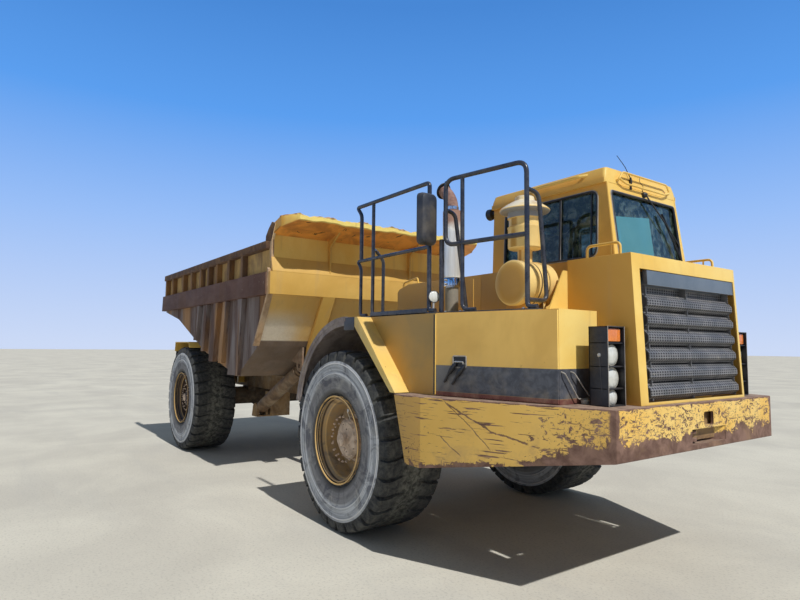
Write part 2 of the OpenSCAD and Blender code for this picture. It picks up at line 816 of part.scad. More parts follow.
module steer_rod_right() color("#c8c8c8") steer_rod();
module steer_rod_left() color("#c8c8c8") mirror([0, 1, 0]) steer_rod();

// Rear frame

house_front = hitch_x - 330;
house_len = 420;
pivot = [rx(-bed_pivot_back), bed_pivot_z];
foot = [rx(hoist_foot_x), hoist_foot_z];
head = [rx(hoist_head_x), hoist_head_z];
pad_t = 11.7;
stringer_y = [rail_in + 5, rail_out - 5];

module rear_frame() color("#8d7440") difference() {
    union() {
        translate([house_front - house_len, 0, hitch_z]) rotate([0, 90, 0])
            cylinder(r = trunnion_r + 90, h = house_len);
        both_sides() {
            block([rx(-860), -rail_out, rear_rail_low], [house_front - 100, -rail_in, rear_rail_top]);
            for (d = [300, 1300, 2200])
                block([rx(d), stringer_y[0], rear_rail_top - eps], [rx(d + 160), stringer_y[1], rear_rail_top + pad_t]);
            for (y = [rail_in - 60, rail_out + 20]) across(-y - 40, -y)
                polygon([
                    [rx(-860), rear_rail_low + 40], [rx(-560), rear_rail_low + 40], [rx(-560), 1400],
                    [pivot[0] + 70, pivot[1] + 80], [pivot[0] - 70, pivot[1] + 80], [rx(-860), 1400]]);
            block([rx(-840), -rail_out - 61, rear_rail_low + 60], [rx(-580), -rail_in + 61, rear_rail_top - 60]);
            translate([pivot[0], -rail_out - 60, pivot[1]]) rotate([-90, 0, 0])
                cylinder(r = bed_pin_r, h = rail_out - rail_in + 120);
            block([foot[0] - 130, -hoist_y + 140, foot[1] - 130], [foot[0] + 110, -rail_in, rear_rail_low + eps]);
            for (y = [hoist_y - 100, hoist_y + 60]) across(-y - 40, -y) {
                translate(foot) circle(r = 100);
                polygon([[foot[0] - 130, foot[1] - 130], [foot[0] + 110, foot[1] - 130],
                    [foot[0] + 100, foot[1]], [foot[0] - 100, foot[1]]]);
            }
            block([foot[0] - 130, -hoist_y - 100, foot[1] - 130], [foot[0] + 110, -rail_in, foot[1] - 105]);
            translate([foot[0], -hoist_y - 100, foot[1]]) rotate([-90, 0, 0]) cylinder(r = bed_pin_r, h = 200);
        }
        for (x = [house_front - house_len - 40, rx(2700), rx(600), rx(-700)])
            block([x, -rail_in - eps, rear_rail_low + 20], [x + 120, rail_in + eps, rear_rail_top - 20]);
    }
    translate([house_front - house_len + 40, 0, hitch_z]) rotate([0, 90, 0])
        cylinder(r = trunnion_r + 0.5, h = house_len);
}

module rear_mudguards() color(yellow) both_sides() {
    guard_z = tyre_r * 2 + 80;
    block([rx(-590), -1775, guard_z], [rx(310), -1060, guard_z + 12]);
    block([rx(-200), -1070, guard_z - 90], [rx(-120), -rail_out - 70, guard_z]);
    block([rx(-200), -rail_out - 120, rear_rail_low + 60], [rx(-120), -rail_out - 0.3, guard_z]);
}

// Bed

bed_profile = [
    [-tail_reach, 2620], [-690, 2440], [1020, 1830], [2640, 1467], [3440, 1930],
    [bed_front, band_low], [bed_front, head_top]];

function rxz(p) = [rx(p[0]), p[1]];

// The unit vector to the left of the line from a to b
function left_of(a, b) = let (d = (b - a) / norm(b - a)) [-d[1], d[0]];

// Point i of a line of points, moved to its left by t with square corners
function inset(p, i, t) =
    i == 0 ? p[0] + left_of(p[0], p[1]) * t
    : i == len(p) - 1 ? p[i] + left_of(p[i - 1], p[i]) * t
    : let (n1 = left_of(p[i - 1], p[i]), n2 = left_of(p[i], p[i + 1]))
        p[i] + (n1 + n2) * t / (1 + n1 * n2);

// A sheet of even thickness whose outer face follows a line of points
module sheet(p, t) {
    polygon(concat(p, [for (i = [len(p) - 1 : -1 : 0]) inset(p, i, t)]));
}

module bed_shell() color(rust) {
    both_sides() {
        across(-bed_y, -bed_y + bed_t)
            polygon(concat([for (i = [0 : len(bed_profile) - 2]) rxz(bed_profile[i])],
                [[rx(bed_front), bed_top], [rx(-tail_reach), bed_top]]));
        difference() {
            across(-stringer_y[1], -stringer_y[0]) {
                polygon([
                    rxz([2480, 1412]), rxz([-620, 1412]), rxz([-850, 1560]), rxz([-850, 2474]),
                    rxz([-690, 2446]), rxz([1020, 1836]), rxz([2480, 1509])]);
                translate(pivot) circle(r = 110);
            }
            translate([pivot[0], 0, pivot[1]]) rotate([90, 0, 0]) cylinder(r = bed_pin_r + 0.5, h = 1000);
        }
        for (y = [hoist_y - 100, hoist_y + 70]) across(-y - 30, -y) difference() {
            union() {
                polygon([
                    [head[0] - 85, head[1] + 30], [head[0] + 89, head[1]], rxz([3430, 1930]),
                    rxz([3060, 1716])]);
                translate(head) circle(r = 90);
            }
            translate(head) circle(r = 35);
        }
    }
    across(-bed_y, bed_y) sheet([for (p = bed_profile) rxz(p)], bed_t);
}

rib_x = [-1580, -400, 480, 1460, 2460, 3440];

module bed_ribs() color(rust) both_sides() {
    block([rx(-tail_reach), -band_y, band_low], [rx(bed_front - 200), -bed_y, band_high]);
    block([rx(-tail_reach), -band_y, bed_top - 110], [rx(bed_front - 60), -bed_y, bed_top]);
    for (x = rib_x) block([rx(x), -band_y + 20, band_high - eps], [rx(x + 90), -bed_y, bed_top - 100]);
    for (row = [[500, 2045], [1490, 1760], [2480, 1530], [3300, 1880]])
        block([rx(row[0] - 140), -band_y + 20, row[1]], [rx(row[0] + 140), -bed_y, band_low + eps]);
}

beam_t = 100;

module bed_canopy() color(yellow) {
    across(-1600, 1600)
        polygon([
            [rx(bed_front), head_top - 20], [rx(canopy_tip), head_top + 80], [rx(canopy_tip), head_top + 105],
            [rx(bed_front), head_top + 5]]);
    block([rx(bed_front), -bed_y, band_low], [rx(bed_front + beam_t), bed_y, band_high]);
    both_sides() {
        across(-800, -775)
            polygon([
                [rx(bed_front), band_high - eps], [rx(bed_front + 70), band_high - eps],
                [rx(bed_front + 70), head_top - 150], [rx(canopy_tip - 100), head_top + 65],
                [rx(bed_front), head_top - 10]]);
        across(-960, -800)
            polygon([
                rxz([bed_front + 2, band_low + eps]), rxz([bed_front + 90, band_low + eps]),
                rxz([3510, 1890]), rxz([3442, 1930])]);
    }
}

// Hoist, two stages and a rod on each side

hoist_vec = head - foot;
hoist_len = norm(hoist_vec);
hoist_angle = atan2(hoist_vec[1], hoist_vec[0]);
stage_r = hoist_r - 20;
rod_r = stage_r - 20;
slip = 0.5;
barrel_span = [115, 1650];
stage_span = [165, 1700];
rod_start = 190;

// The right hoist cylinder lies along +X from its foot pin
module at_hoist_foot() {
    translate([foot[0], -hoist_y, foot[1]]) rotate([0, -hoist_angle, 0]) children();
}

module tube(span, r_out, r_in, floor_t) {
    difference() {
        translate([span[0], 0, 0]) rotate([0, 90, 0]) cylinder(r = r_out, h = span[1] - span[0]);
        translate([span[0] + floor_t, 0, 0]) rotate([0, 90, 0]) cylinder(r = r_in, h = span[1]);
    }
}

module cross_eye(s, r, w, bore) {
    difference() {
        translate([s, w / 2, 0]) rotate([90, 0, 0]) cylinder(r = r, h = w);
        translate([s, w / 2 + 1, 0]) rotate([90, 0, 0]) cylinder(r = bore, h = w + 2);
    }
}

module hoist_barrel() color(rust) at_hoist_foot() {
    tube(barrel_span, hoist_r, stage_r + slip, 45);
    difference() {
        block([0, -50, -60], [barrel_span[0] + eps, 50, 60]);
        rotate([90, 0, 0]) cylinder(r = 80, h = 200, center = true);
    }
    cross_eye(0, 88, 100, bed_pin_r + slip);
}

module hoist_stage() color("#a08050") at_hoist_foot() tube(stage_span, stage_r, rod_r + slip, 15);

module hoist_rod() color("#c8c8c8") at_hoist_foot() {
    translate([rod_start, 0, 0]) rotate([0, 90, 0]) cylinder(r = rod_r, h = hoist_len - 70 - rod_start);
    cross_eye(hoist_len, 75, 100, 35);
}

module hoist_barrel_right() hoist_barrel();
module hoist_barrel_left() mirror([0, 1, 0]) hoist_barrel();
module hoist_stage_right() hoist_stage();
module hoist_stage_left() mirror([0, 1, 0]) hoist_stage();
module hoist_rod_right() hoist_rod();
module hoist_rod_left() mirror([0, 1, 0]) hoist_rod();

// Engine

module engine() color("#5a5a50")
    block([fx(1060), -360, front_rail_top - 20 + seat_gap], [fx(2250), 360, cab_floor_z - 30]);

// Wheels in their places

module tyre_front_right() color(dark) at_wheel(fx(0), -1) tyre();
module tyre_front_left() color(dark) at_wheel(fx(0), 1) tyre();
module tyre_rear_right() color(dark) at_wheel(rx(0), -1) tyre();
module tyre_rear_left() color(dark) at_wheel(rx(0), 1) tyre();
module rim_front_right() color("#8a6a30") at_wheel(fx(0), -1) rim();
module rim_front_left() color("#8a6a30") at_wheel(fx(0), 1) rim();
module rim_rear_right() color("#8a6a30") at_wheel(rx(0), -1) rim();
module rim_rear_left() color("#8a6a30") at_wheel(rx(0), 1) rim();

front_frame();
front_bumper();
engine();
hood();
grille();
deck_boxes();
wheel_arches();
headlamps();
cab_shell();
cab_roof();
cab_glass();
cab_seat();
cab_console();
cab_door();
cab_door_glass();
deck_rails();
exhaust();
air_cleaner();
rear_casing();
mirrors();
front_axle();
hitch();
steer_barrels();
steer_rod_right();
steer_rod_left();
rear_frame();
rear_axle();
rear_mudguards();
bed_shell();
bed_ribs();
bed_canopy();
hoist_barrel_right();
hoist_barrel_left();
hoist_stage_right();
hoist_stage_left();
hoist_rod_right();
hoist_rod_left();
tyre_front_right();
tyre_front_left();
tyre_rear_right();
tyre_rear_left();
rim_front_right();
rim_front_left();
rim_rear_right();
rim_rear_left();
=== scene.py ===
"""Looks of the articulated dump truck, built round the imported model.

X is forward, Y to the left and Z up, in metres, with the ground at Z = 0. A distance called d is
measured ahead of the front axle, and in the bed ahead of the rear axle.
"""
import math
import random

import bmesh
import bpy
from mathutils import Matrix, Vector


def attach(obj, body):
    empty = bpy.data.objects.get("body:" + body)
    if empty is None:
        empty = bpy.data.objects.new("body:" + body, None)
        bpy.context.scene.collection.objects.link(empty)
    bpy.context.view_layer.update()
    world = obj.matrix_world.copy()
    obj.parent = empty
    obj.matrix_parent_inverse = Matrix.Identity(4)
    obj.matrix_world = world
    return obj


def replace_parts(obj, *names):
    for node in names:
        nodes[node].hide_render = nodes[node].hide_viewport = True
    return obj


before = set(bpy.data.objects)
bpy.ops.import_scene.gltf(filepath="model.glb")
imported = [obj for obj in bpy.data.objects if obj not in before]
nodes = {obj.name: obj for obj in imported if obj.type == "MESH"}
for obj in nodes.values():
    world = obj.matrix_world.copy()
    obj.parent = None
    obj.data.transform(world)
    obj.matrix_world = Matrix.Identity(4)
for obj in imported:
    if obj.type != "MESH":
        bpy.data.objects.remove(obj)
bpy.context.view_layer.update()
scene = bpy.context.scene
chance = random.Random(8)

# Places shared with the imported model
FRONT_AXLE = 2.265
REAR_AXLE = -3.595
HUB_Z = 0.95
WHEEL_Y = 1.425
DECK_Z = 2.25
BUMPER_TOP = 1.513
SIDES = ((-1, "right"), (1, "left"))
AHEAD, UP = (1, 0, 0), (0, 0, 1)


def fx(d):
    """X of a place given ahead of the front axle."""
    return FRONT_AXLE + d


def rx(d):
    """X of a place given ahead of the rear axle."""
    return REAR_AXLE + d


# Camera at the photograph's place

CAMERA_AT = Vector((7.739, -4.910, 1.948))
CAMERA_YAW, CAMERA_PITCH, CAMERA_ROLL = (math.radians(a) for a in (-54.2075, 4.5602, 0.5746))
LENS_MM, SENSOR_MM = 26.1045, 36.0


def make_camera():
    """The camera with the yaw, pitch and roll of the photograph."""
    ahead = Vector((
        math.sin(CAMERA_YAW) * math.cos(CAMERA_PITCH),
        math.cos(CAMERA_YAW) * math.cos(CAMERA_PITCH),
        math.sin(CAMERA_PITCH)))
    right = Vector((math.cos(CAMERA_YAW), -math.sin(CAMERA_YAW), 0))
    up = right.cross(ahead)
    c, s = math.cos(CAMERA_ROLL), math.sin(CAMERA_ROLL)
    right, up = c * right + s * up, c * up - s * right
    data = bpy.data.cameras.new("camera")
    data.lens, data.sensor_width = LENS_MM, SENSOR_MM
    data.clip_start, data.clip_end = 0.05, 500
    camera = bpy.data.objects.new("camera", data)
    scene.collection.objects.link(camera)
    camera.matrix_world = Matrix.Translation(CAMERA_AT) @ Matrix(
        (right, up, -ahead)).transposed().to_4x4()
    scene.camera = camera


# Materials


class Shader:
    """A material's node tree. A value is a number, a colour or another node's output."""

    def __init__(self, name):
        self.mat = bpy.data.materials.new(name)
        self.mat.use_nodes = True
        self.tree = self.mat.node_tree
        self.bsdf = self.tree.nodes["Principled BSDF"]
        self.color = None
        coords = self.node("TexCoord", {}, None)
        self.place = coords["Object"]
        self.x, self.y, self.z = self.node("SeparateXYZ", {0: self.place}, None)
        self.nx, self.ny, self.nz = self.node("SeparateXYZ", {0: coords["Normal"]}, None)

    def node(self, kind, values, output=0, **settings):
        """A new node with its sockets filled; returns one output, or all of them for None."""
        made = self.tree.nodes.new("ShaderNode" + kind)
        for key, value in settings.items():
            setattr(made, key, value)
        for key, value in values.items():
            self.put(made.inputs[key], value)
        return made.outputs if output is None else made.outputs[output]

    def put(self, socket, value):
        if isinstance(value, bpy.types.NodeSocket):
            self.tree.links.new(value, socket)
        elif isinstance(value, tuple) and socket.type == "RGBA":
            socket.default_value = (*value, 1)
        else:
            socket.default_value = value

    def calc(self, operation, a, b=0.0):
        return self.node("Math", {0: a, 1: b}, operation=operation)

    def chain(self, operation, first, *others):
        for value in others:
            first = self.calc(operation, first, value)
        return first

    def times(self, *values):
        return self.chain("MULTIPLY", *values)

    def most(self, *values):
        return self.chain("MAXIMUM", *values)

    def plus(self, *values):
        return self.chain("ADD", *values)

    def minus(self, a, b):
        return self.calc("SUBTRACT", a, b)

    def apart(self, value):
        return self.calc("ABSOLUTE", value)

    def stretch(self, scale, turn=(0, 0, 0)):
        return self.node("Mapping", {"Vector": self.place, "Scale": scale, "Rotation": turn})

    def noise(self, scale, detail=4.0, rough=0.55, warp=0.0, at=None):
        """Noise at the place, at another vector, or stretched by three factors."""
        at = self.stretch(at) if isinstance(at, tuple) else at or self.place
        return self.node("TexNoise", {"Vector": at, "Scale": scale, "Detail": detail, "Roughness": rough,
                                      "Distortion": warp}, "Fac")

    def fade(self, value, low, high, start=0.0, end=1.0):
        return self.node("MapRange", {0: value, 1: low, 2: high, 3: start, 4: end},
                         interpolation_type="SMOOTHSTEP")

    def band(self, value, low, high, soft=0.004):
        start = self.fade(value, low - soft, low + soft)
        return self.times(start, self.fade(value, high - soft, high + soft, 1, 0))

    def patches(self, low, high, *noise):
        """Soft patches: 0 where the noise is below low and 1 where it is above high."""
        return self.fade(self.noise(*noise), low, high)

    def flank(self, low, high):
        """1 on faces that look to either side."""
        return self.fade(self.apart(self.ny), low, high)

    def up(self, low, high):
        """1 on faces that look up, or down where the limits are below 0."""
        return self.fade(self.nz, low, high)

    def front(self, low, high):
        """1 on faces that look ahead."""
        return self.fade(self.nx, low, high)

    def mix(self, amount, a, b):
        return self.node("Mix", {0: amount, 6: a, 7: b}, 2, data_type="RGBA")

    def blend(self, amount, a, b):
        return self.node("Mix", {0: amount, 2: a, 3: b}, data_type="FLOAT")

    def mottled(self, a, b, *patches):
        return self.mix(self.patches(*patches), a, b)

    def lay(self, color, *share):
        """Puts a colour over the present one, by the product of the shares."""
        self.color = self.mix(self.times(*share), self.color, color)

    def scratches(self, angle, across, along, cut, in_plane="XZ"):
        """Thin lines that run at an angle in a plane, as far apart as across and as long as along."""
        turn = (0, angle, 0) if in_plane == "XZ" else (angle, 0, 0)
        scale = (1 / along, 4, 1 / across) if in_plane == "XZ" else (4, 1 / along, 1 / across)
        return self.patches(cut, cut + 0.025, 1.0, 3, 0.6, 0.25, self.stretch(scale, turn))

    def bump(self, height, distance, strength):
        normal = self.node("Bump", {"Height": height, "Distance": distance, "Strength": strength})
        self.put(self.bsdf.inputs["Normal"], normal)

    def finish(self, rough=0.5, shine=0.5, metal=0.0, **extra):
        values = {"Base Color": self.color, "Roughness": rough, "Metallic": metal,
                  "Specular IOR Level": shine}
        for key, value in {**values, **extra}.items():
            self.put(self.bsdf.inputs[key.replace("_", " ")], value)
        return self.mat


YELLOW = (0.86, 0.55, 0.125)
PALE = (0.93, 0.68, 0.22)
SHADED_SIDE_YELLOW = (0.70, 0.36, 0.055)
DUSK = (0.50, 0.26, 0.045)
DUST = (0.46, 0.38, 0.27)
RUST = (0.11, 0.048, 0.026)
LILAC = (0.27, 0.235, 0.235)


def dusty_paint_with_side_shade(s, base=YELLOW, pale=PALE, side=SHADED_SIDE_YELLOW, dirt=0.3, edge=(0.86, 0.965)):
    """Paint in random pale patches, dust on top faces and dirt streaks; faces that look to either side or
    back take the side colour: painted shade where it is darker, painted light where it is paler.
    """
    cloud = s.noise(0.9, 5, 0.6, 0.4)
    s.color = s.mix(s.fade(cloud, 0.36, 0.68), base, pale)
    # Painted shade: faces that look to either side, and faces that look back, are laid over with the side
    # colour.
    side_shade = s.mottled(side, s.mix(0.45, side, DUSK), 0.35, 0.65, 1.3, 4, 0.6, 0.6)
    s.lay(side_shade, s.flank(*edge), 0.92)
    s.lay(side, s.front(-0.4, -0.9), 0.7)
    s.lay(s.mix(0.5, DUST, DUSK), s.patches(0.52, 0.75, 7.0, 6, 0.62, 0.3, (1, 1, 0.06)), dirt)
    s.lay(DUST, s.up(0.5, 0.9), s.patches(0.25, 0.72, 2.6, 5, 0.6), 0.6)
    s.lay(DUSK, s.patches(0.62, 0.72, 46, 5, 0.65), 0.18)
    return cloud


def chipped(s, amount):
    return s.patches(0.70 - 0.10 * amount, 0.715 - 0.10 * amount, 13, 9, 0.7, 0.6)


def paint(name, dirt=0.3, chips=0.0, side=SHADED_SIDE_YELLOW, base=YELLOW, pale=PALE):
    s = Shader(name)
    cloud = dusty_paint_with_side_shade(s, base, pale, side, dirt)
    chip = chipped(s, chips)
    s.lay(RUST, chip)
    s.bump(s.minus(s.noise(2.6, 3, 0.5), s.times(chip, 0.1)), 0.012, 0.35)
    return s.finish(s.blend(chip, s.blend(cloud, 0.38, 0.53), 0.85), 0.35)


def box_paint():
    """Deck box paint with the broad dark stripe and the narrow maroon line below it."""
    s = Shader("deck_box_paint")
    # The third colour is the painted shade on faces that look to either side or back.
    cloud = dusty_paint_with_side_shade(s, (0.96, 0.64, 0.16), (1.0, 0.76, 0.27), (0.83, 0.53, 0.15))
    tan = s.mottled((0.56, 0.33, 0.085), (0.44, 0.29, 0.10), 0.35, 0.65, 1.5, 4, 0.6, 0.4)
    hot = s.times(s.fade(s.x, fx(1.25), fx(0.60)), s.fade(s.z, 2.1, 1.7), 0.6)
    tan = s.mix(hot, tan, (0.66, 0.30, 0.05))
    s.lay(tan, s.fade(s.x, fx(1.436), fx(1.433)), s.flank(0.7, 0.9))
    ahead = s.times(s.most(s.flank(0.8, 0.9), s.front(0.5, 0.8)), s.fade(s.x, fx(1.434), fx(1.437)))
    worn = s.patches(0.35, 0.7, 14, 6, 0.65, 0.4)
    dark = s.mix(worn, (0.060, 0.066, 0.085), (0.115, 0.125, 0.155))
    dark = s.mix(s.times(s.fade(s.x, fx(1.75), fx(1.46)), 0.75), dark, (0.20, 0.20, 0.205))
    s.lay(dark, ahead, s.band(s.z, 1.556, 1.786, 0.002))
    s.lay(s.mix(worn, (0.16, 0.055, 0.05), (0.24, 0.11, 0.085)), ahead, s.fade(s.z, 1.557, 1.554))
    s.lay(DUST, s.fade(s.z, 1.95, 1.5), s.patches(0.45, 0.7, 6, 6, 0.6, 0.5), 0.25)
    s.lay(RUST, chipped(s, -0.1))
    s.bump(s.noise(2.2, 3, 0.5), 0.012, 0.35)
    return s.finish(s.blend(cloud, 0.36, 0.52), 0.35)


# Long scratches on the bumper's side: (distance ahead of the front axle, height) and half width
GOUGES = (
    (((1.697, 1.488), (1.797, 1.410), (1.932, 1.295), (2.090, 1.134)), 0.004),
    (((1.720, 1.475), (1.947, 1.352), (2.147, 1.261), (2.389, 1.213)), 0.006),
    (((1.659, 1.199), (1.752, 1.124), (1.843, 1.050)), 0.004),
)


def bumper_paint():
    """Thick worn paint, scraped to rusty steel along the low edge and the corners."""
    s = Shader("worn_bumper_paint")
    flank = s.flank(0.55, 0.9)
    s.color = s.mottled((0.84, 0.51, 0.105), (0.93, 0.68, 0.24), 0.35, 0.68, 1.6, 5, 0.6, 0.5)
    # Painted shade: faces that look to either side take a darker mottled yellow.
    s.lay(s.mix(s.noise(1.4, 4, 0.6, 0.5), (0.66, 0.40, 0.085), (0.86, 0.55, 0.15)), flank, 0.85)
    rust = s.mottled((0.13, 0.072, 0.055), (0.27, 0.165, 0.13), 0.35, 0.68, 8, 7, 0.65, 0.4)
    low_edge = s.plus(s.times(s.minus(s.x, fx(1.472)), 0.146), 0.91)
    height = s.minus(s.z, low_edge)
    ragged = s.plus(s.times(s.noise(5.5, 8, 0.68, 0.6), 0.42), -0.21)
    reach = s.blend(flank, 0.12, s.blend(s.fade(s.x, fx(2.2), fx(2.98)), 0.02, 0.15))
    bare = s.fade(s.plus(height, ragged), reach, s.plus(reach, 0.012), 1, 0)
    corner = s.times(flank, s.fade(s.plus(s.x, s.times(ragged, 0.25)), fx(2.955), fx(2.975)))
    edge = s.fade(s.plus(s.apart(s.y), s.times(ragged, 0.3)), 1.195, 1.21)
    rim = s.most(corner, s.times(s.front(0.5, 0.8), edge),
                 s.fade(s.plus(s.z, s.times(ragged, 0.12)), 1.498, 1.505))
    rear = s.times(flank, s.fade(s.x, fx(1.66), fx(1.48)), 0.7)
    near = s.blend(flank, 0.95, s.most(s.fade(s.x, fx(1.9), fx(2.85)), s.times(rear, 0.9), 0.35))
    near = s.times(near, s.fade(height, 0.60, 0.10, 0.62, 1.0))
    cut = s.fade(near, 0.0, 1.0, 0.69, 0.535)
    chips = s.patches(cut, s.plus(cut, 0.018), 17, 9, 0.72, 0.7, (0.8, 0.8, 1.35))
    fine = s.patches(s.plus(cut, 0.02), s.plus(cut, 0.05), 46, 5, 0.7, 0.4)
    lines = s.times(s.most(s.scratches(0.45, 0.020, 0.50, 0.640), s.scratches(-0.10, 0.016, 0.42, 0.635),
                           s.scratches(1.25, 0.02, 0.3, 0.69)), flank)
    down = s.times(s.scratches(1.35, 0.016, 0.16, 0.63, "YZ"), s.front(0.5, 0.8))
    along = s.minus(s.x, fx(0))
    cuts = []
    for points, width in GOUGES:
        for (x0, z0), (x1, z1) in zip(points, points[1:]):
            line = s.plus(s.times(s.minus(along, x0), (z1 - z0) / (x1 - x0)), z0)
            wobble = s.times(s.plus(s.noise(9, 5, 0.6), -0.5), 0.05)
            away = s.apart(s.minus(s.plus(s.z, wobble), line))
            wide = s.times(s.noise(14, 4, 0.6), width * 2)
            cuts.append(s.times(s.fade(away, s.plus(wide, 0.002), wide), s.band(along, x0, x1, 0.01)))
    gouges = s.times(s.most(*cuts), flank)
    # Painted shade: the side behind the knee, which looks rear-right, is darkened.
    s.lay((0.42, 0.24, 0.075), flank, s.fade(along, 1.480, 1.468), 0.55)
    worn = s.most(bare, rim, chips, s.times(fine, 0.8), lines, down, s.times(gouges, 0.9))
    s.lay(rust, worn)
    s.lay((0.36, 0.23, 0.13), s.patches(0.50, 0.72, 3.2, 6, 0.65, 0.5), s.fade(height, 0.5, 0.0), 0.5)
    s.lay((0.40, 0.29, 0.22), s.up(0.6, 0.9), s.patches(0.3, 0.6, 12, 7, 0.65), 0.85)
    s.lay(rust, s.up(-0.6, -0.9), 0.8)
    s.bump(s.minus(s.noise(6, 4, 0.5), s.times(worn, 0.35)), 0.004, 0.7)
    return s.finish(s.blend(worn, 0.45, 0.85), 0.35)


def wheel_measures(s):
    """Ways from the wheel's axis, the radius, the way from its middle plane, and 1 on the front wheels."""
    ahead = s.calc("GREATER_THAN", s.x, -0.5)
    u = s.minus(s.x, s.blend(ahead, REAR_AXLE, FRONT_AXLE))
    w = s.minus(s.z, HUB_Z)
    radius = s.calc("SQRT", s.plus(s.times(u, u), s.times(w, w)))
    return u, w, radius, s.minus(s.apart(s.y), WHEEL_Y), ahead


def tyre_rubber():
    s = Shader("dusty_tyre")
    u, w, radius, off, _ = wheel_measures(s)
    wall = s.times(s.fade(s.apart(off), 0.345, 0.358), s.fade(radius, 0.838, 0.828))
    swirl = s.node("CombineXYZ", {"X": s.times(radius, 34), "Y": s.calc("DIVIDE", u, radius),
                                  "Z": s.calc("DIVIDE", w, radius)})
    rings = s.noise(1.0, 5, 0.65, 0.3, swirl)
    black = s.mix(s.noise(9, 6, 0.65), (0.018, 0.019, 0.024), (0.050, 0.052, 0.058))
    olive = s.mottled((0.036, 0.037, 0.036), (0.20, 0.20, 0.175), 0.36, 0.66, 16, 8, 0.7, 0.4)
    tread = s.mix(s.fade(s.apart(off), 0.20, 0.06), s.mix(0.35, black, olive), olive)
    high = s.times(s.fade(radius, 0.93, 0.944), s.patches(0.48, 0.66, 22, 7, 0.7), 0.4)
    tread = s.mix(high, tread, (0.17, 0.165, 0.145))
    s.color = s.mix(s.fade(rings, 0.30, 0.70), (0.24, 0.26, 0.31), (0.66, 0.70, 0.77))
    s.lay((0.20, 0.195, 0.205), s.fade(radius, 0.69, 0.64), 0.8)
    s.lay((0.085, 0.09, 0.12), s.patches(0.48, 0.62, 4.2, 8, 0.72, 1.2), 0.72)
    bright = s.most(s.band(radius, 0.800, 0.813), s.times(s.band(radius, 0.692, 0.702), 0.8),
                    s.times(s.band(radius, 0.735, 0.741, 0.003), 0.5))
    s.lay((0.74, 0.75, 0.78), bright, 0.85)
    s.lay((0.58, 0.57, 0.54), s.patches(0.5, 0.72, 5, 7, 0.65, 0.5), 0.45)
    s.lay((0.10, 0.095, 0.09), s.fade(radius, 0.56, 0.50), 0.8)
    s.color = s.mix(wall, tread, s.color)
    s.bump(s.plus(s.noise(60, 5, 0.7), s.times(s.noise(11, 5, 0.7), 1.3), s.times(rings, 0.5)), 0.004, 0.7)
    return s.finish(0.86, 0.3)


def rim_paint():
    s = Shader("golden_rim")
    _, _, radius, _, ahead = wheel_measures(s)
    gold = s.mottled((0.55, 0.36, 0.16), (0.40, 0.31, 0.215), 0.35, 0.68, 7, 6, 0.65, 0.4)
    dull = s.mottled((0.22, 0.145, 0.085), (0.12, 0.080, 0.055), 0.35, 0.68, 6, 6, 0.65, 0.4)
    hub = s.mottled((0.82, 0.66, 0.53), (0.50, 0.38, 0.29), 0.35, 0.65, 10, 7, 0.65, 0.5)
    s.color = s.mix(s.fade(radius, 0.262, 0.258), gold, hub)
    # Painted shade: the rear rims are darkened all over, and near black inside the flange.
    s.lay(s.mix(s.fade(radius, 0.40, 0.44), (0.085, 0.055, 0.042), dull), s.minus(1.0, ahead))
    # Painted highlight: two bright rings on the flange.
    rings = ((0.446, 0.462), (0.404, 0.412))
    s.lay((0.72, 0.47, 0.17), s.most(*(s.band(radius, a, b, 0.003) for a, b in rings)), 0.7)
    seams = ((0.434, 0.440), (0.465, 0.470), (0.2545, 0.2585))
    s.lay((0.03, 0.02, 0.015), s.most(*(s.band(radius, a, b, 0.002) for a, b in seams)), 0.85)
    s.lay((0.07, 0.045, 0.03), s.patches(0.55, 0.72, 3.5, 5, 0.65, 0.8), 0.55)
    s.bump(s.noise(30, 6, 0.65), 0.002, 0.7)
    return s.finish(0.62, 0.35)


def steel_shades(s):
    """Old bed steel in upright streaks of maroon, dark brown, ochre and lilac grey."""
    s.color = s.mottled((0.115, 0.062, 0.042), LILAC, 0.38, 0.64, 3.2, 6, 0.6, 0.25, (1, 1, 0.12))
    s.lay((0.45, 0.24, 0.09), s.patches(0.50, 0.62, 1.5, 4, 0.55, 0.2, (1.1, 1, 0.10)), 0.75)
    s.lay((0.05, 0.03, 0.024), s.patches(0.56, 0.70, 11, 6, 0.6, 0.15, (1, 1, 0.05)), 0.7)


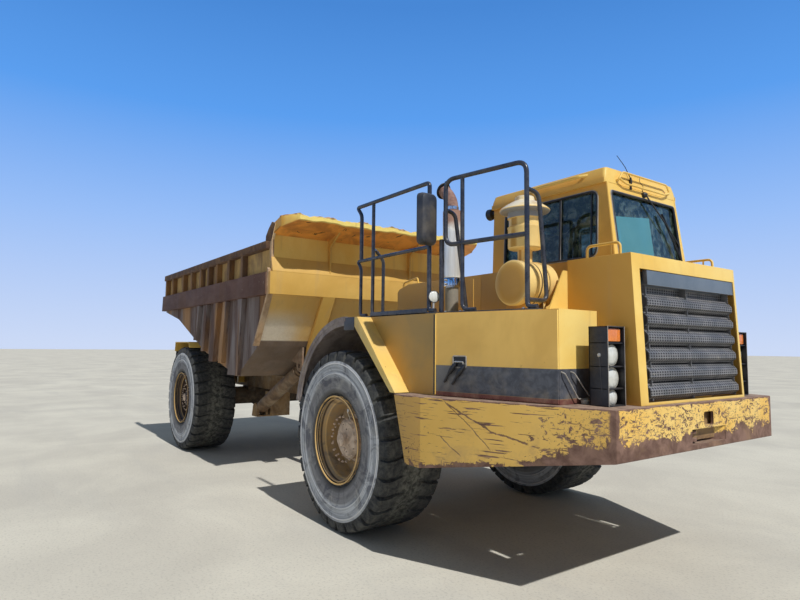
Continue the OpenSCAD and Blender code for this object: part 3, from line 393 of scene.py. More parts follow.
def bed_steel():
    """The bed's plates: streaked outside, scoured inside, yellow on the front wall."""
    s = Shader("streaked_bed_steel")
    dusty_paint_with_side_shade(s, dirt=0.45)
    yellow = s.color
    # Low on the front wall the yellow turns pale cream towards its outer ends: partly dust, partly a
    # painted sunlit patch where the sun only grazes the wall.
    dull = s.times(s.fade(s.plus(s.apart(s.y), s.times(s.noise(2.4, 6, 0.66, 0.5), 0.7)), 1.15, 1.85),
                   s.fade(s.z, 2.50, 2.20))
    yellow = s.mix(s.times(s.up(-0.2, -0.45), 0.5), yellow, (0.80, 0.50, 0.20))
    yellow = s.mix(dull, yellow, s.mix(s.noise(30, 6, 0.7), (1.0, 0.92, 0.76), (0.72, 0.60, 0.45)))
    steel_shades(s)
    panel = s.mottled((0.62, 0.42, 0.17), (0.30, 0.19, 0.10), 0.38, 0.66, 4.5, 7, 0.66, 0.5, (1, 1, 0.4))
    s.lay(panel, s.fade(s.z, 2.93, 2.96), s.flank(0.7, 0.9), 0.9)
    bare = s.mottled((0.21, 0.17, 0.135), (0.40, 0.33, 0.26), 0.35, 0.66, 5.0, 7, 0.68, 0.3, (0.12, 1, 1))
    bare = s.mix(s.times(s.patches(0.5, 0.7, 1.2, 6, 0.65, 0.5), 0.7), bare, (0.20, 0.10, 0.05))
    s.lay(bare, s.fade(s.apart(s.y), 1.6835, 1.6815), s.up(-0.3, 0.0))
    # Painted shade: faces that look down, under the bed, are darkened to brown.
    s.lay(s.mix(s.noise(4, 6, 0.65, 0.4), (0.13, 0.095, 0.07), (0.30, 0.225, 0.165)), s.up(-0.25, -0.5),
          0.85)
    s.lay(yellow, s.fade(s.x, rx(3.485), rx(3.50)), s.front(0.25, 0.5))
    s.bump(s.plus(s.noise(34, 6, 0.7), s.times(s.noise(4, 4, 0.6), 2.5)), 0.006, 0.6)
    return s.finish(0.78, 0.25)


def rib_steel():
    """Bed ribs and rails: a maroon band, dark rails, ochre and lilac ribs."""
    s = Shader("streaked_rib_steel")
    steel_shades(s)
    maroon = s.mottled((0.105, 0.052, 0.040), (0.165, 0.095, 0.078), 0.35, 0.68, 2.4, 6, 0.6, 0.4,
                       (0.6, 1, 1.4))
    s.lay(maroon, s.band(s.z, 2.63, 2.955, 0.003), 0.92)
    rail = s.mottled((0.10, 0.055, 0.035), (0.22, 0.125, 0.06), 0.40, 0.68, 6, 6, 0.66, 0.4)
    s.lay(rail, s.fade(s.z, 3.26, 3.28))
    rib = s.mottled((0.33, 0.175, 0.06), (0.12, 0.065, 0.035), 0.35, 0.66, 5, 6, 0.66, 0.4, (1, 1, 0.3))
    s.lay(rib, s.band(s.z, 2.955, 3.27), 0.85)
    tan = s.mottled((0.80, 0.62, 0.40), (0.55, 0.38, 0.22), 0.35, 0.66, 6, 6, 0.66, 0.4)
    s.lay(tan, s.fade(s.x, rx(3.86), rx(3.90)), s.front(0.2, 0.6))
    s.lay((0.35, 0.27, 0.22), s.patches(0.645, 0.665, 19, 8, 0.7, 0.5), 0.7)
    s.lay((0.40, 0.30, 0.22), s.up(0.6, 0.9), 0.5)
    s.bump(s.plus(s.noise(34, 6, 0.7), s.times(s.noise(5, 4, 0.6), 2.0)), 0.005, 0.6)
    return s.finish(0.75, 0.25)


def canopy_paint():
    """Canopy: yellow on its beam, a battered lip with painted sunlight on its front, orange-brown underside
    with rust holes.
    """
    s = Shader("battered_canopy_paint")
    dusty_paint_with_side_shade(s, dirt=0.5)
    warm = s.mottled((0.95, 0.42, 0.085), (0.55, 0.22, 0.055), 0.35, 0.66, 2.6, 7, 0.66, 0.6)
    warm = s.mix(s.patches(0.62, 0.645, 4.2, 6, 0.66, 0.9), warm, (0.035, 0.018, 0.012))
    s.lay(warm, s.up(-0.15, -0.45))
    s.lay(s.mix(s.noise(5, 6, 0.65), (0.17, 0.11, 0.075), (0.33, 0.25, 0.18)), s.front(-0.2, -0.6), 0.9)
    # Painted sunlight: the lip's front faces are laid over with a paler yellow.
    s.lay((1.0, 0.82, 0.26), s.front(0.5, 0.8), s.fade(s.z, 3.58, 3.60), 0.8)
    worn = s.mottled((0.55, 0.30, 0.20), (0.20, 0.10, 0.06), 0.45, 0.56, 15, 8, 0.7, 0.5)
    s.lay(worn, s.fade(s.plus(s.z, s.times(s.noise(7, 7, 0.7, 0.6), 0.09)), 3.705, 3.725), 0.85)
    s.lay((0.30, 0.16, 0.06), s.patches(0.58, 0.72, 9, 6, 0.62, 0.2, (1, 1, 0.06)), 0.45)
    chip = chipped(s, 0.1)
    s.lay(RUST, chip)
    s.bump(s.plus(s.noise(5, 4, 0.6), s.times(chip, -0.2)), 0.008, 0.5)
    return s.finish(s.blend(chip, 0.5, 0.85), 0.3)


def perforated():
    """Grille sheet with rows of small holes painted near black as their painted shade, and pale louvre tops
    as a painted highlight; the header above is plain.
    """
    s = Shader("perforated_grille")
    across, down = s.times(s.y, math.pi / 0.036), s.times(s.z, math.pi / 0.021)
    wave = s.times(s.calc("SINE", s.plus(across, down)), s.calc("SINE", s.minus(across, down)))
    mesh = s.times(s.fade(wave, 0.0, 0.35), s.fade(s.z, 2.455, 2.45), s.front(0.1, 0.3))
    s.color = s.mottled((0.13, 0.135, 0.15), (0.24, 0.235, 0.24), 0.35, 0.66, 5, 6, 0.65, 0.5)
    s.lay((0.42, 0.38, 0.32), s.patches(0.60, 0.66, 13, 8, 0.7, 0.6), 0.6)
    # Painted shade: the holes are painted near black for the dark seen through them.
    s.lay((0.008, 0.008, 0.010), mesh)
    blue = s.mottled((0.115, 0.15, 0.20), (0.15, 0.185, 0.235), 0.35, 0.66, 3, 6, 0.65, 0.4)
    s.lay(blue, s.fade(s.z, 2.455, 2.458), s.front(0.3, 0.6))
    # Painted highlight: faces that look up below the header are pale grey, dark at the holes.
    s.lay(s.mix(mesh, (0.60, 0.60, 0.60), (0.10, 0.10, 0.10)), s.up(0.75, 0.95), s.fade(s.z, 2.45, 2.44),
          0.8)
    s.bump(s.times(mesh, -1.0), 0.003, 0.8)
    return s.finish(0.45, 0.4)


def exhaust_steel():
    """Stack: dark pipe below, chrome clamp, streaky heat shield, rusty top."""
    s = Shader("heat_stained_stack")
    lines = s.noise(20, 5, 0.6, 0.1, (1, 1, 0.03))
    s.color = s.mix(s.fade(lines, 0.35, 0.66), (0.96, 0.96, 0.93), (0.62, 0.61, 0.59))
    s.lay((0.40, 0.24, 0.19), s.fade(s.plus(s.z, s.times(s.noise(9, 6, 0.65), 0.10)), 3.16, 3.26))
    s.lay(s.mottled((0.20, 0.105, 0.085), (0.36, 0.22, 0.185), 0.35, 0.66, 12, 7, 0.66, 0.4),
          s.fade(s.z, 3.30, 3.31))
    clamp = s.band(s.z, 2.536, 2.631, 0.002)
    s.lay((0.80, 0.81, 0.83), clamp)
    s.lay(s.mix(s.noise(14, 6, 0.65), (0.20, 0.18, 0.155), (0.40, 0.37, 0.31)), s.fade(s.z, 2.54, 2.535))
    s.bump(s.plus(s.noise(30, 5, 0.6), s.times(lines, 0.6)), 0.002, 0.5)
    metal = s.most(clamp, s.times(s.band(s.z, 2.64, 3.15, 0.02), 0.35))
    return s.finish(s.blend(clamp, s.blend(s.band(s.z, 2.64, 3.1, 0.02), 0.8, 0.38), 0.10), metal=metal)


def cleaner_paint():
    """Air cleaner: clear-looking dust bowl in the pre-cleaner, dark clamp bands on the drum."""
    s = Shader("air_cleaner_paint")
    dusty_paint_with_side_shade(s, (0.93, 0.64, 0.22), (1.0, 0.76, 0.34), edge=(0.95, 0.995))
    s.lay(s.mix(s.noise(12, 5, 0.6), (0.25, 0.25, 0.26), (0.42, 0.42, 0.42)),
          s.band(s.z, 3.085, 3.150, 0.003), s.fade(s.x, fx(1.80), fx(1.82)))
    clamps = s.most(s.band(s.y, -0.985, -0.975, 0.001), s.band(s.y, -1.085, -1.07, 0.001))
    s.lay((0.12, 0.075, 0.04), clamps, s.fade(s.z, 2.72, 2.70))
    s.lay((0.85, 0.80, 0.66), s.fade(s.z, 3.155, 3.16), s.patches(0.35, 0.6, 5, 5, 0.6, 0.3), 0.75)
    s.bump(s.noise(4, 4, 0.5), 0.004, 0.3)
    return s.finish(0.34, 0.4)


def side_glass():
    s = Shader("side_glass")
    dirt = s.times(s.patches(0.42, 0.75, 3.5, 6, 0.65, 0.4), 0.2)
    s.color = s.mix(dirt, (0.40, 0.52, 0.62), (0.45, 0.44, 0.40))
    return s.finish(s.blend(dirt, 0.02, 0.6), Transmission_Weight=s.blend(dirt, 0.92, 0.25), IOR=1.45)


def screen_glass():
    """The windscreen: deep green, with a painted reflection of leaves in patches, a painted bright teal
    view through the cab low on its right-hand side, and a pale upright streak low on its left.
    """
    s = Shader("screen_glass")
    edge = s.plus(3.10, s.times(s.plus(s.y, 0.5), 0.10))
    pane = s.times(s.band(s.y, -0.49, 0.075, 0.006), s.fade(s.z, s.plus(edge, 0.006), s.minus(edge, 0.006)))
    # Painted reflection of leaves: lighter green patches on the deep green glass.
    leaf_reflection = s.patches(0.42, 0.62, 16, 7, 0.7, 0.6)
    s.color = s.mix(leaf_reflection, (0.10, 0.17, 0.15), (0.34, 0.46, 0.42))
    # Painted view through the cab: a bright teal patch low on the right-hand side.
    s.lay(s.mix(s.noise(5, 5, 0.6), (0.13, 0.42, 0.50), (0.20, 0.52, 0.60)), pane)
    # A pale upright streak low on the left.
    s.lay((0.50, 0.55, 0.40), s.band(s.y, 0.36, 0.42, 0.012), s.fade(s.z, 3.25, 3.0), 0.5)
    clear = s.blend(pane, s.blend(leaf_reflection, 0.92, 0.80), 0.50)
    return s.finish(0.03, Transmission_Weight=clear, IOR=1.45)


def lens(name, tint, rough=0.12):
    """A fluted lamp lens."""
    s = Shader(name)
    s.color = s.mix(s.times(s.patches(0.4, 0.7, 20, 5, 0.6), 0.35), tint, tuple(c * 0.55 for c in tint))
    s.bump(s.calc("SINE", s.times(s.y, 320)), 0.002, 0.6)
    return s.finish(rough, Coat_Weight=0.8, Coat_Roughness=0.05)


def hub_paint():
    s = Shader("dusty_hub")
    s.color = s.mottled((0.80, 0.64, 0.51), (0.46, 0.34, 0.26), 0.35, 0.66, 18, 7, 0.66, 0.4)
    s.bump(s.noise(40, 5, 0.6), 0.001, 0.5)
    return s.finish(0.7)


def plain(name, base, other, rough=0.55, dust=0.3, metal=0.0, depth=0.001, grain=40):
    """A dusty plain finish with a fine grain. Without another colour, a darker base is its second one."""
    s = Shader(name)
    amount = s.times(s.patches(0.42, 0.72, 4.5, 6, 0.62, 0.3), dust)
    second = other or tuple(c * 0.6 for c in base)
    s.color = s.mottled(base, second, 0.38, 0.66, 7, 6, 0.65, 0.4)
    s.lay(DUST, s.most(amount, s.times(s.up(0.3, 0.95), dust)))
    s.bump(s.noise(grain, 5, 0.6), depth, 0.6)
    return s.finish(s.blend(amount, rough, 0.9), metal=metal)


# Look, material name, two colours, roughness, dust and, where given, metal, grain depth and grain scale
PLAIN_LOOKS = (
    ("flange", "flange_paint", (0.62, 0.42, 0.25), (0.40, 0.24, 0.13), 0.7, 0.5, 0.0, 0.003),
    ("frame", "frame_paint", (0.34, 0.215, 0.10), (0.19, 0.11, 0.055), 0.75, 0.55, 0.0, 0.003),
    ("dark_frame", "oily_frame", (0.060, 0.045, 0.032), (0.15, 0.10, 0.06), 0.7, 0.25, 0.0, 0.003),
    ("hoist", "hoist_paint", (0.20, 0.12, 0.06), (0.10, 0.06, 0.035), 0.6, 0.5),
    ("black", "black_paint", (0.028, 0.030, 0.038), (0.06, 0.062, 0.07), 0.30, 0.10),
    ("lamp_box", "lamp_box_paint", (0.010, 0.010, 0.014), (0.022, 0.023, 0.03), 0.42, 0.06),
    ("rail", "rail_paint", (0.020, 0.022, 0.034), (0.055, 0.058, 0.07), 0.26, 0.10),
    ("mirror", "mirror_shell", (0.035, 0.037, 0.045), None, 0.42, 0.15),
    ("mirror_glass", "mirror_glass", (0.80, 0.82, 0.84), None, 0.04, 0.04, 1.0),
    ("rubber", "arch_rubber", (0.20, 0.165, 0.16), (0.34, 0.29, 0.28), 0.7, 0.3),
    ("seal", "window_seal", (0.016, 0.017, 0.020), None, 0.5, 0.05),
    ("seal_edge", "window_seal_edge", (0.42, 0.40, 0.38), None, 0.45, 0.1),
    ("chrome", "rod_chrome", (0.72, 0.72, 0.73), None, 0.12, 0.08, 1.0),
    ("zinc", "zinc_bolts", (0.62, 0.60, 0.56), None, 0.35, 0.15, 0.6),
    ("iron", "engine_iron", (0.09, 0.08, 0.07), None, 0.8, 0.4),
    ("trim", "cab_trim", (0.035, 0.037, 0.042), None, 0.6, 0.1),
    ("cloth", "seat_cloth", (0.035, 0.040, 0.060), None, 0.95, 0.1, 0.0, 0.001, 300),
    ("cable", "pale_cable", (0.60, 0.57, 0.50), None, 0.5, 0.1),
    ("hose", "hydraulic_hose", (0.022, 0.022, 0.024), None, 0.6, 0.2),
)


def make_materials():
    return {
        # The third colour given to paint is laid on faces that look to either side or back: a painted shade
        # for the cab, hood, casing and beam, and a painted light for the guard and strut, which are paler
        # there.
        "cab": paint("cab_paint", 0.22, -0.2, (0.74, 0.42, 0.095)),
        "hood": paint("hood_paint", 0.22, -0.15, (0.58, 0.31, 0.06)),
        "casing": paint("casing_paint", 0.6, 0.2, (0.48, 0.28, 0.10)),
        "guard": paint("guard_paint", 0.35, 0.1, (0.98, 0.70, 0.20)),
        "strut": paint("strut_paint", 0.4, 0.15, (0.86, 0.66, 0.23)),
        "beam": paint("beam_paint", 0.45, 0.1, (0.70, 0.40, 0.10), (0.62, 0.37, 0.085), (0.74, 0.48, 0.13)),
        "box": box_paint(), "bumper": bumper_paint(), "bed": bed_steel(), "ribs": rib_steel(),
        "canopy": canopy_paint(), "grille": perforated(), "exhaust": exhaust_steel(),
        "cleaner": cleaner_paint(), "tyre": tyre_rubber(), "rim": rim_paint(), "hub": hub_paint(),
        "screen": screen_glass(), "side_glass": side_glass(), "lens": lens("lamp_lens", (0.78, 0.80, 0.78)),
        "amber": lens("amber_lens", (0.93, 0.26, 0.045), 0.25),
        **{look: plain(*values) for look, *values in PLAIN_LOOKS},
    }


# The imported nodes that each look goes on
NODE_LOOKS = {
    "frame": "front_frame hitch rear_frame", "bumper": "front_bumper", "iron": "engine", "hood": "hood",
    "grille": "grille", "box": "deck_boxes", "rubber": "wheel_arches", "lamp_box": "headlamps",
    "cab": "cab_shell cab_roof cab_door", "screen": "cab_glass", "trim": "cab_seat cab_console",
    "rail": "deck_rails", "exhaust": "exhaust", "cleaner": "air_cleaner", "casing": "rear_casing",
    "mirror": "mirrors", "dark_frame": "front_axle rear_axle", "black": "steer_barrels",
    "side_glass": "cab_door_glass", "guard": "rear_mudguards", "bed": "bed_shell", "ribs": "bed_ribs",
    "canopy": "bed_canopy",
    "hoist": "hoist_barrel_right hoist_barrel_left hoist_stage_right hoist_stage_left",
    "chrome": "hoist_rod_right hoist_rod_left steer_rod_right steer_rod_left",
    "tyre": "tyre_front_right tyre_front_left tyre_rear_right tyre_rear_left",
    "rim": "rim_front_right rim_front_left rim_rear_right rim_rear_left",
}


# Pieces built as meshes, each at its place in the model


class Build:
    """A mesh put together from plain shapes."""

    def __init__(self):
        self.bm = bmesh.new()
        self.look = 0

    def face(self, verts):
        made = self.bm.faces.new(verts)
        made.material_index = self.look

    def loft(self, rings, ends=True):
        rows = [[self.bm.verts.new(p) for p in ring] for ring in rings]
        count = len(rows[0])
        for a, b in zip(rows, rows[1:]):
            for i in range(count):
                j = (i + 1) % count
                self.face((a[i], a[j], b[j], b[i]))
        if ends:
            self.face(rows[0][::-1])
            self.face(rows[-1])
        return rows

    def slab(self, outline, axis, start, end, soft=0.0):
        """A flat shape with its outline in the two other axes, in their order."""
        order = {"X": (2, 0, 1), "Y": (0, 2, 1), "Z": (0, 1, 2)}[axis]
        rows = self.loft([[[(*point, t)[k] for k in order] for point in outline] for t in (start, end)])
        if soft:
            edges = {e for row in rows for v in row for e in v.link_edges}
            bmesh.ops.bevel(self.bm, geom=list(edges), offset=soft, segments=2, affect="EDGES", profile=0.7,
                            clamp_overlap=True, material=-1)

    def block(self, low, high, soft=0.003):
        (x0, y0, z0), (x1, y1, z1) = low, high
        self.slab([(x0, y0), (x1, y0), (x1, y1), (x0, y1)], "Z", z0, z1, soft)

    def bar(self, side, d0, d1, y0, y1, z0, z1, soft=0.003):
        """A block on one side, from its distances ahead of the front axle and from the middle."""
        y0, y1 = sorted((side * y0, side * y1))
        self.block((fx(d0), y0, z0), (fx(d1), y1, z1), soft)

    def plate(self, points, y0, y1, soft=0.0, at=fx):
        """A shape with (distance ahead of an axle, height) corners, from one Y to another."""
        self.slab([(at(d), z) for d, z in points], "Y", *sorted((y0, y1)), soft)

    def tube(self, path, radius, sides=10, closed=False):
        """A tube along a path, with one radius or one for each point."""
        path = [Vector(p) for p in path]
        count = len(path)
        radii = radius if isinstance(radius, (list, tuple)) else [radius] * count
        rings, side = [], None
        for i, point in enumerate(path):
            before = path[i - 1] if i or closed else point
            after = path[(i + 1) % count] if i < count - 1 or closed else point
            ahead = (after - before).normalized()
            if side is None:
                side = ahead.orthogonal().normalized()
            side = (side - ahead * side.dot(ahead)).normalized()
            other = ahead.cross(side)
            rings.append([point + radii[i] * (math.cos(a) * side + math.sin(a) * other)
                          for a in circle(sides)])
        if closed:
            rings.append(rings[0])
        self.loft(rings, ends=not closed)

    def pipe(self, points, bend, steps, radius, sides=10, closed=False):
        """A tube whose path has round bends."""
        self.tube(rounded(points, bend, steps, closed), radius, sides, closed)

    def turned(self, profile, at, axis, sides=32):
        """A turned shape from (distance along the axis, radius) pairs."""
        at, axis = Vector(at), Vector(axis).normalized()
        u = axis.orthogonal().normalized()
        v = axis.cross(u)
        self.loft([[at + axis * t + max(r, 0.0004) * (math.cos(a) * u + math.sin(a) * v)
                    for a in circle(sides)]
                   for t, r in profile])

    def bolt(self, at, axis, radius=0.012, tall=None):
        tall = tall or radius * 1.1
        washer, head = radius * 1.55, radius * 1.12
        self.turned([(-0.002, washer), (tall * 0.22, washer), (tall * 0.25, radius * 1.4)], at, axis, 16)
        self.turned([(tall * 0.2, head), (tall * 0.9, head), (tall * 1.1, radius * 0.9)], at, axis, 6)

    def mesh(self, name):
        """The finished mesh, with its doubled points joined and its faces turned outward."""
        bmesh.ops.remove_doubles(self.bm, verts=self.bm.verts, dist=0.00002)
        bmesh.ops.recalc_face_normals(self.bm, faces=self.bm.faces)
        mesh = bpy.data.meshes.new(name)
        self.bm.to_mesh(mesh)
        self.bm.free()
        return mesh

    def done(self, name, looks, body="front_unit", slot="black_paint", sharp=32):
        mesh = self.mesh(name)
        for polygon in mesh.polygons:
            polygon.use_smooth = True
        mesh.set_sharp_from_angle(angle=math.radians(sharp))
        obj = bpy.data.objects.new(name, mesh)
        for look in looks.split():
            mesh.materials.append(LOOK[look])
        scene.collection.objects.link(obj)
        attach(obj, body)
        return obj

    def dress(self, node, looks, body="front_unit", slot="yellow_paint", sharp=32):
        """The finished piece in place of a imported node."""
        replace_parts(self.done(node + "_dressed", looks, body, slot, sharp), node)


def circle(count):
    """Angles round a full turn."""
    return [2 * math.pi * k / count for k in range(count)]


def rounded(points, radius, steps=5, closed=False):
    """A path with its corners rounded."""
    points = [Vector(p) for p in points]
    path = []
    count = len(points)
    for i, point in enumerate(points):
        if not closed and i in (0, count - 1):
            path.append(point)
            continue
        before, after = points[i - 1] - point, points[(i + 1) % count] - point
        reach = min(radius, before.length * 0.49, after.length * 0.49)
        a, b = point + before.normalized() * reach, point + after.normalized() * reach
        for k in range(steps + 1):
            t = k / steps
            path.append((1 - t) ** 2 * a + 2 * t * (1 - t) * point + t * t * b)
    return path


def rectangle(a0, b0, a1, b1):
    return [(a0, b0), (a1, b0), (a1, b1), (a0, b1)]


def rounded_box(a0, b0, a1, b1, r, steps=6):
    """The outline of a rectangle with round corners, in a plane."""
    corners = [(a, b, 0) for a, b in rectangle(a0, b0, a1, b1)]
    return [(p.x, p.y) for p in rounded(corners, r, steps, closed=True)]


def smooth_path(points, steps=5):
    """A soft curve through all the points."""
    points = [Vector(p) for p in points]
    wide = [2 * points[0] - points[1], *points, 2 * points[-1] - points[-2]]
    path = []
    for a, b, c, d in zip(wide, wide[1:], wide[2:], wide[3:]):
        for k in range(steps):
            t = k / steps
            path.append(0.5 * (2 * b + (c - a) * t + (2 * a - 5 * b + 4 * c - d) * t ** 2
                               + (3 * b - a - 3 * c + d) * t ** 3))
    return [*path, points[-1]]


def smoothstep(low, high, value):
    t = min(1.0, max(0.0, (value - low) / (high - low)))
    return t * t * (3 - 2 * t)


# Tyres and wheels

LUGS = 30
# Places round one lug and the gap after it, with the lug's height there
LUG_STEPS = ((0.0, 1), (0.03, 1), (0.14, 1), (0.28, 1), (0.42, 1), (0.56, 1), (0.70, 1), (0.745, 1),
             (0.79, 0), (0.87, 0), (0.955, 0))
# Distance from the middle, radius in the gaps, radius on the lugs
TREAD = ((0.000, 0.934, 0.934), (0.045, 0.934, 0.935), (0.080, 0.932, 0.937), (0.105, 0.922, 0.941),
         (0.150, 0.918, 0.945), (0.200, 0.915, 0.948), (0.250, 0.912, 0.949), (0.295, 0.905, 0.948),
         (0.325, 0.893, 0.944), (0.345, 0.874, 0.934), (0.354, 0.858, 0.914), (0.360, 0.846, 0.886),
         (0.365, 0.838, 0.858), (0.367, 0.832, 0.840))
WALL = ((0.3695, 0.815), (0.3735, 0.810), (0.3738, 0.803), (0.3705, 0.799), (0.3705, 0.770),
        (0.3712, 0.740),
        (0.3715, 0.706), (0.3745, 0.702), (0.3746, 0.694), (0.3725, 0.690), (0.3735, 0.650),
        (0.3710, 0.610),
        (0.3690, 0.570), (0.3660, 0.530), (0.3600, 0.505), (0.3480, 0.490), (0.3400, 0.482),
        (0.3330, 0.462))


def make_tyre(name, x, y):
    b = Build()
    half = [*TREAD, *((off, r, r) for off, r in WALL)]
    section = [(-off, low, high) for off, low, high in half[:0:-1]] + half
    wear = {side: [chance.uniform(0, 0.007) for _ in range(LUGS)] for side in (-1, 1)}
    nick = [[chance.uniform(-1, 1) for _ in section] for _ in range(LUGS * len(LUG_STEPS))]
    rings = []
    for lug in range(LUGS):
        for part, raised in LUG_STEPS:
            row = []
            for k, (off, low, high) in enumerate(section):
                shift = max(-1.0, min(1.0, off / 0.08)) * 0.25
                slant = smoothstep(0.08, 0.30, abs(off)) * 0.22
                turn = (lug + part + shift + slant) * 2 * math.pi / LUGS
                height = low + (high - low) * raised
                if raised and 0.08 < abs(off) < 0.35:
                    height += 0.0016 * nick[len(rings)][k] - wear[1 if off > 0 else -1][lug]
                row.append((x + height * math.sin(turn), y + off, HUB_Z + height * math.cos(turn)))
            rings.append(row)
    b.loft([*rings, rings[0]], ends=False)
    b.dress(name, "tyre", name.replace("tyre", "wheel"), "tyre_rubber", 38)


def make_hub(name, x, y, side):
    """Bolts, the lock ring and the valve of one wheel."""
    b = Build()
    out = (0, side, 0)

    def at(radius, turn, off):
        return (x + radius * math.sin(turn), y + side * off, HUB_Z + radius * math.cos(turn))

    for turn in circle(20):
        b.bolt(at(0.236, turn, 0.269), out, 0.0085, 0.014)
    for turn in circle(12):
        b.bolt(at(0.165, turn + math.pi / 12, 0.2995), out, 0.0065, 0.009)
    b.look = 1
    for radius, off, thick in ((0.4575, 0.364, 0.0085), (0.428, 0.352, 0.006)):
        b.tube([at(radius, turn, off) for turn in circle(72)], thick, 8, closed=True)
    b.look = 2
    cap = ((-0.002, 0.070), (0.008, 0.070), (0.012, 0.064), (0.014, 0.03), (0.016, 0.001))
    b.turned(cap, at(0, 0, 0.299), out, 40)
    b.turned([(-0.002, 0.018), (0.012, 0.018), (0.016, 0.014)], at(0.12, 2.4, 0.299), out, 6)
    b.look = 3
    b.pipe([at(0.415, 0.62, 0.335), at(0.400, 0.62, 0.362), at(0.300, 0.67, 0.300)], 0.03, 5, 0.007, 8)
    middle, reach = Vector(at(0.405, 0.62, 0.349)), Vector((0.014, 0.010, 0.014))
    b.block(middle - reach, middle + reach)
    b.done(name + "_fittings", "hub rim hub zinc", name.replace("rim", "wheel"), "rim_paint")


# Deck boxes: doors, struts, latches, seams and wire guards

BOX_SLOPE = 0.28 / 1.16


def on_box(d, z, out=0.0, side=-1):
    """A point on the deck box's door."""
    along = Vector((1.16, 0.28)).normalized()
    face = 1.600 - (d - 1.42) * BOX_SLOPE
    return Vector((fx(d) + along.y * (0.012 + out), side * (face + along.x * (0.012 + out)), z))


def make_box(side, name):
    def on(points, out=0.0):
        return [on_box(d, z, out, side) for d, z in points]

    b = Build()
    b.pipe(on(((1.628, 1.868), (1.760, 1.868), (1.760, 1.772), (1.628, 1.772)), 0.002), 0.012, 3, 0.006, 8,
           True)
    # Painted shade: a flat black sheet stands for the dark recess round the handle.
    b.look = 1
    b.loft([on(((1.632, 1.866), (1.756, 1.866), (1.756, 1.774), (1.632, 1.774)), out) for out in (-0.004,
                                                                                                  0.002)])
    b.look = 2
    b.pipe(on(((1.650, 1.80),)) + on(((1.655, 1.82), (1.735, 1.82)), 0.020) + on(((1.740, 1.80),)),
           0.01, 3, 0.007, 8)
    b.look = 1
    for (d0, z0), (d1, z1) in (((1.668, 1.815), (1.545, 1.640)), ((1.752, 1.790), (1.628, 1.625))):
        path = smooth_path([on_box(d0 + (d1 - d0) * k, z0 + (z1 - z0) * k, 0.012 + 0.010 * math.sin(3 * k),
                                   side)
                            for k in (0, 0.3, 0.65, 1)])
        b.tube(path, [0.010 + 0.012 * math.sin(math.pi * min(1, k / 10)) for k in range(len(path))])
    b.look = 2
    for d in (1.65, 1.73):
        b.bolt(on_box(d, 1.81, 0.0, side), (0.235, side * 0.972, 0), 0.008)
    b.done("box_latch_" + name, "seal_edge seal zinc")

    b = Build()
    for d, wide, b.look in ((1.426, 0.0065, 1), (1.440, 0.0055, 0)):
        b.tube(on(((d, 2.236), (d, 1.527)), 0.0012), wide, 6)
    b.done("box_seam_" + name, "strut seal", slot="yellow_paint")

    b = Build()
    x = fx(2.580)
    for wire in (((0, 1.300, 1.764), (0.030, 1.292, 1.755), (0.036, 1.150, 1.565), (0.036, 1.135, 1.556),
                  (0.036, 1.010, 1.556), (0.036, 1.006, 1.552)),
                 ((0, 1.185, 1.764), (0.030, 1.180, 1.755), (0.038, 1.010, 1.575))):
        b.pipe([(x + out, side * y, z) for out, y, z in wire], 0.02, 4, 0.0055, 8)
    b.look = 1
    b.turned([(0, 0.030), (0.010, 0.032), (0.026, 0.032), (0.034, 0.024)], (x + 0.036, side * 1.060, 1.516),
             UP, 24)
    b.done("box_wire_guard_" + name, "seal_edge cable")

    b = Build()
    b.plate([(0.310, DECK_Z - 0.002), (0.310, DECK_Z - 0.100), (0.970, BUMPER_TOP + 0.003),
             (1.050, BUMPER_TOP + 0.003), (0.365, DECK_Z - 0.002)], side * 1.770, side * 1.575, 0.006)
    b.done("arch_strut_" + name, "strut", slot="yellow_paint")

    b = Build()
    door = [(fx(d), side * (y - (d - 1.42) * BOX_SLOPE))
            for d, y in ((1.434, 1.597), (1.434, 1.612), (2.576, 1.612), (2.576, 1.597))]
    b.slab(door, "Z", BUMPER_TOP + 0.010, DECK_Z - 0.010, 0.004)
    b.done("box_door_" + name, "box", slot="yellow_paint")


LAMP_X, LAMP_Y = fx(2.818), 1.0125
# Height and radius of each lamp in a headlamp box
LAMPS = ((1.576, 0.058), (1.722, 0.080), (1.896, 0.078))


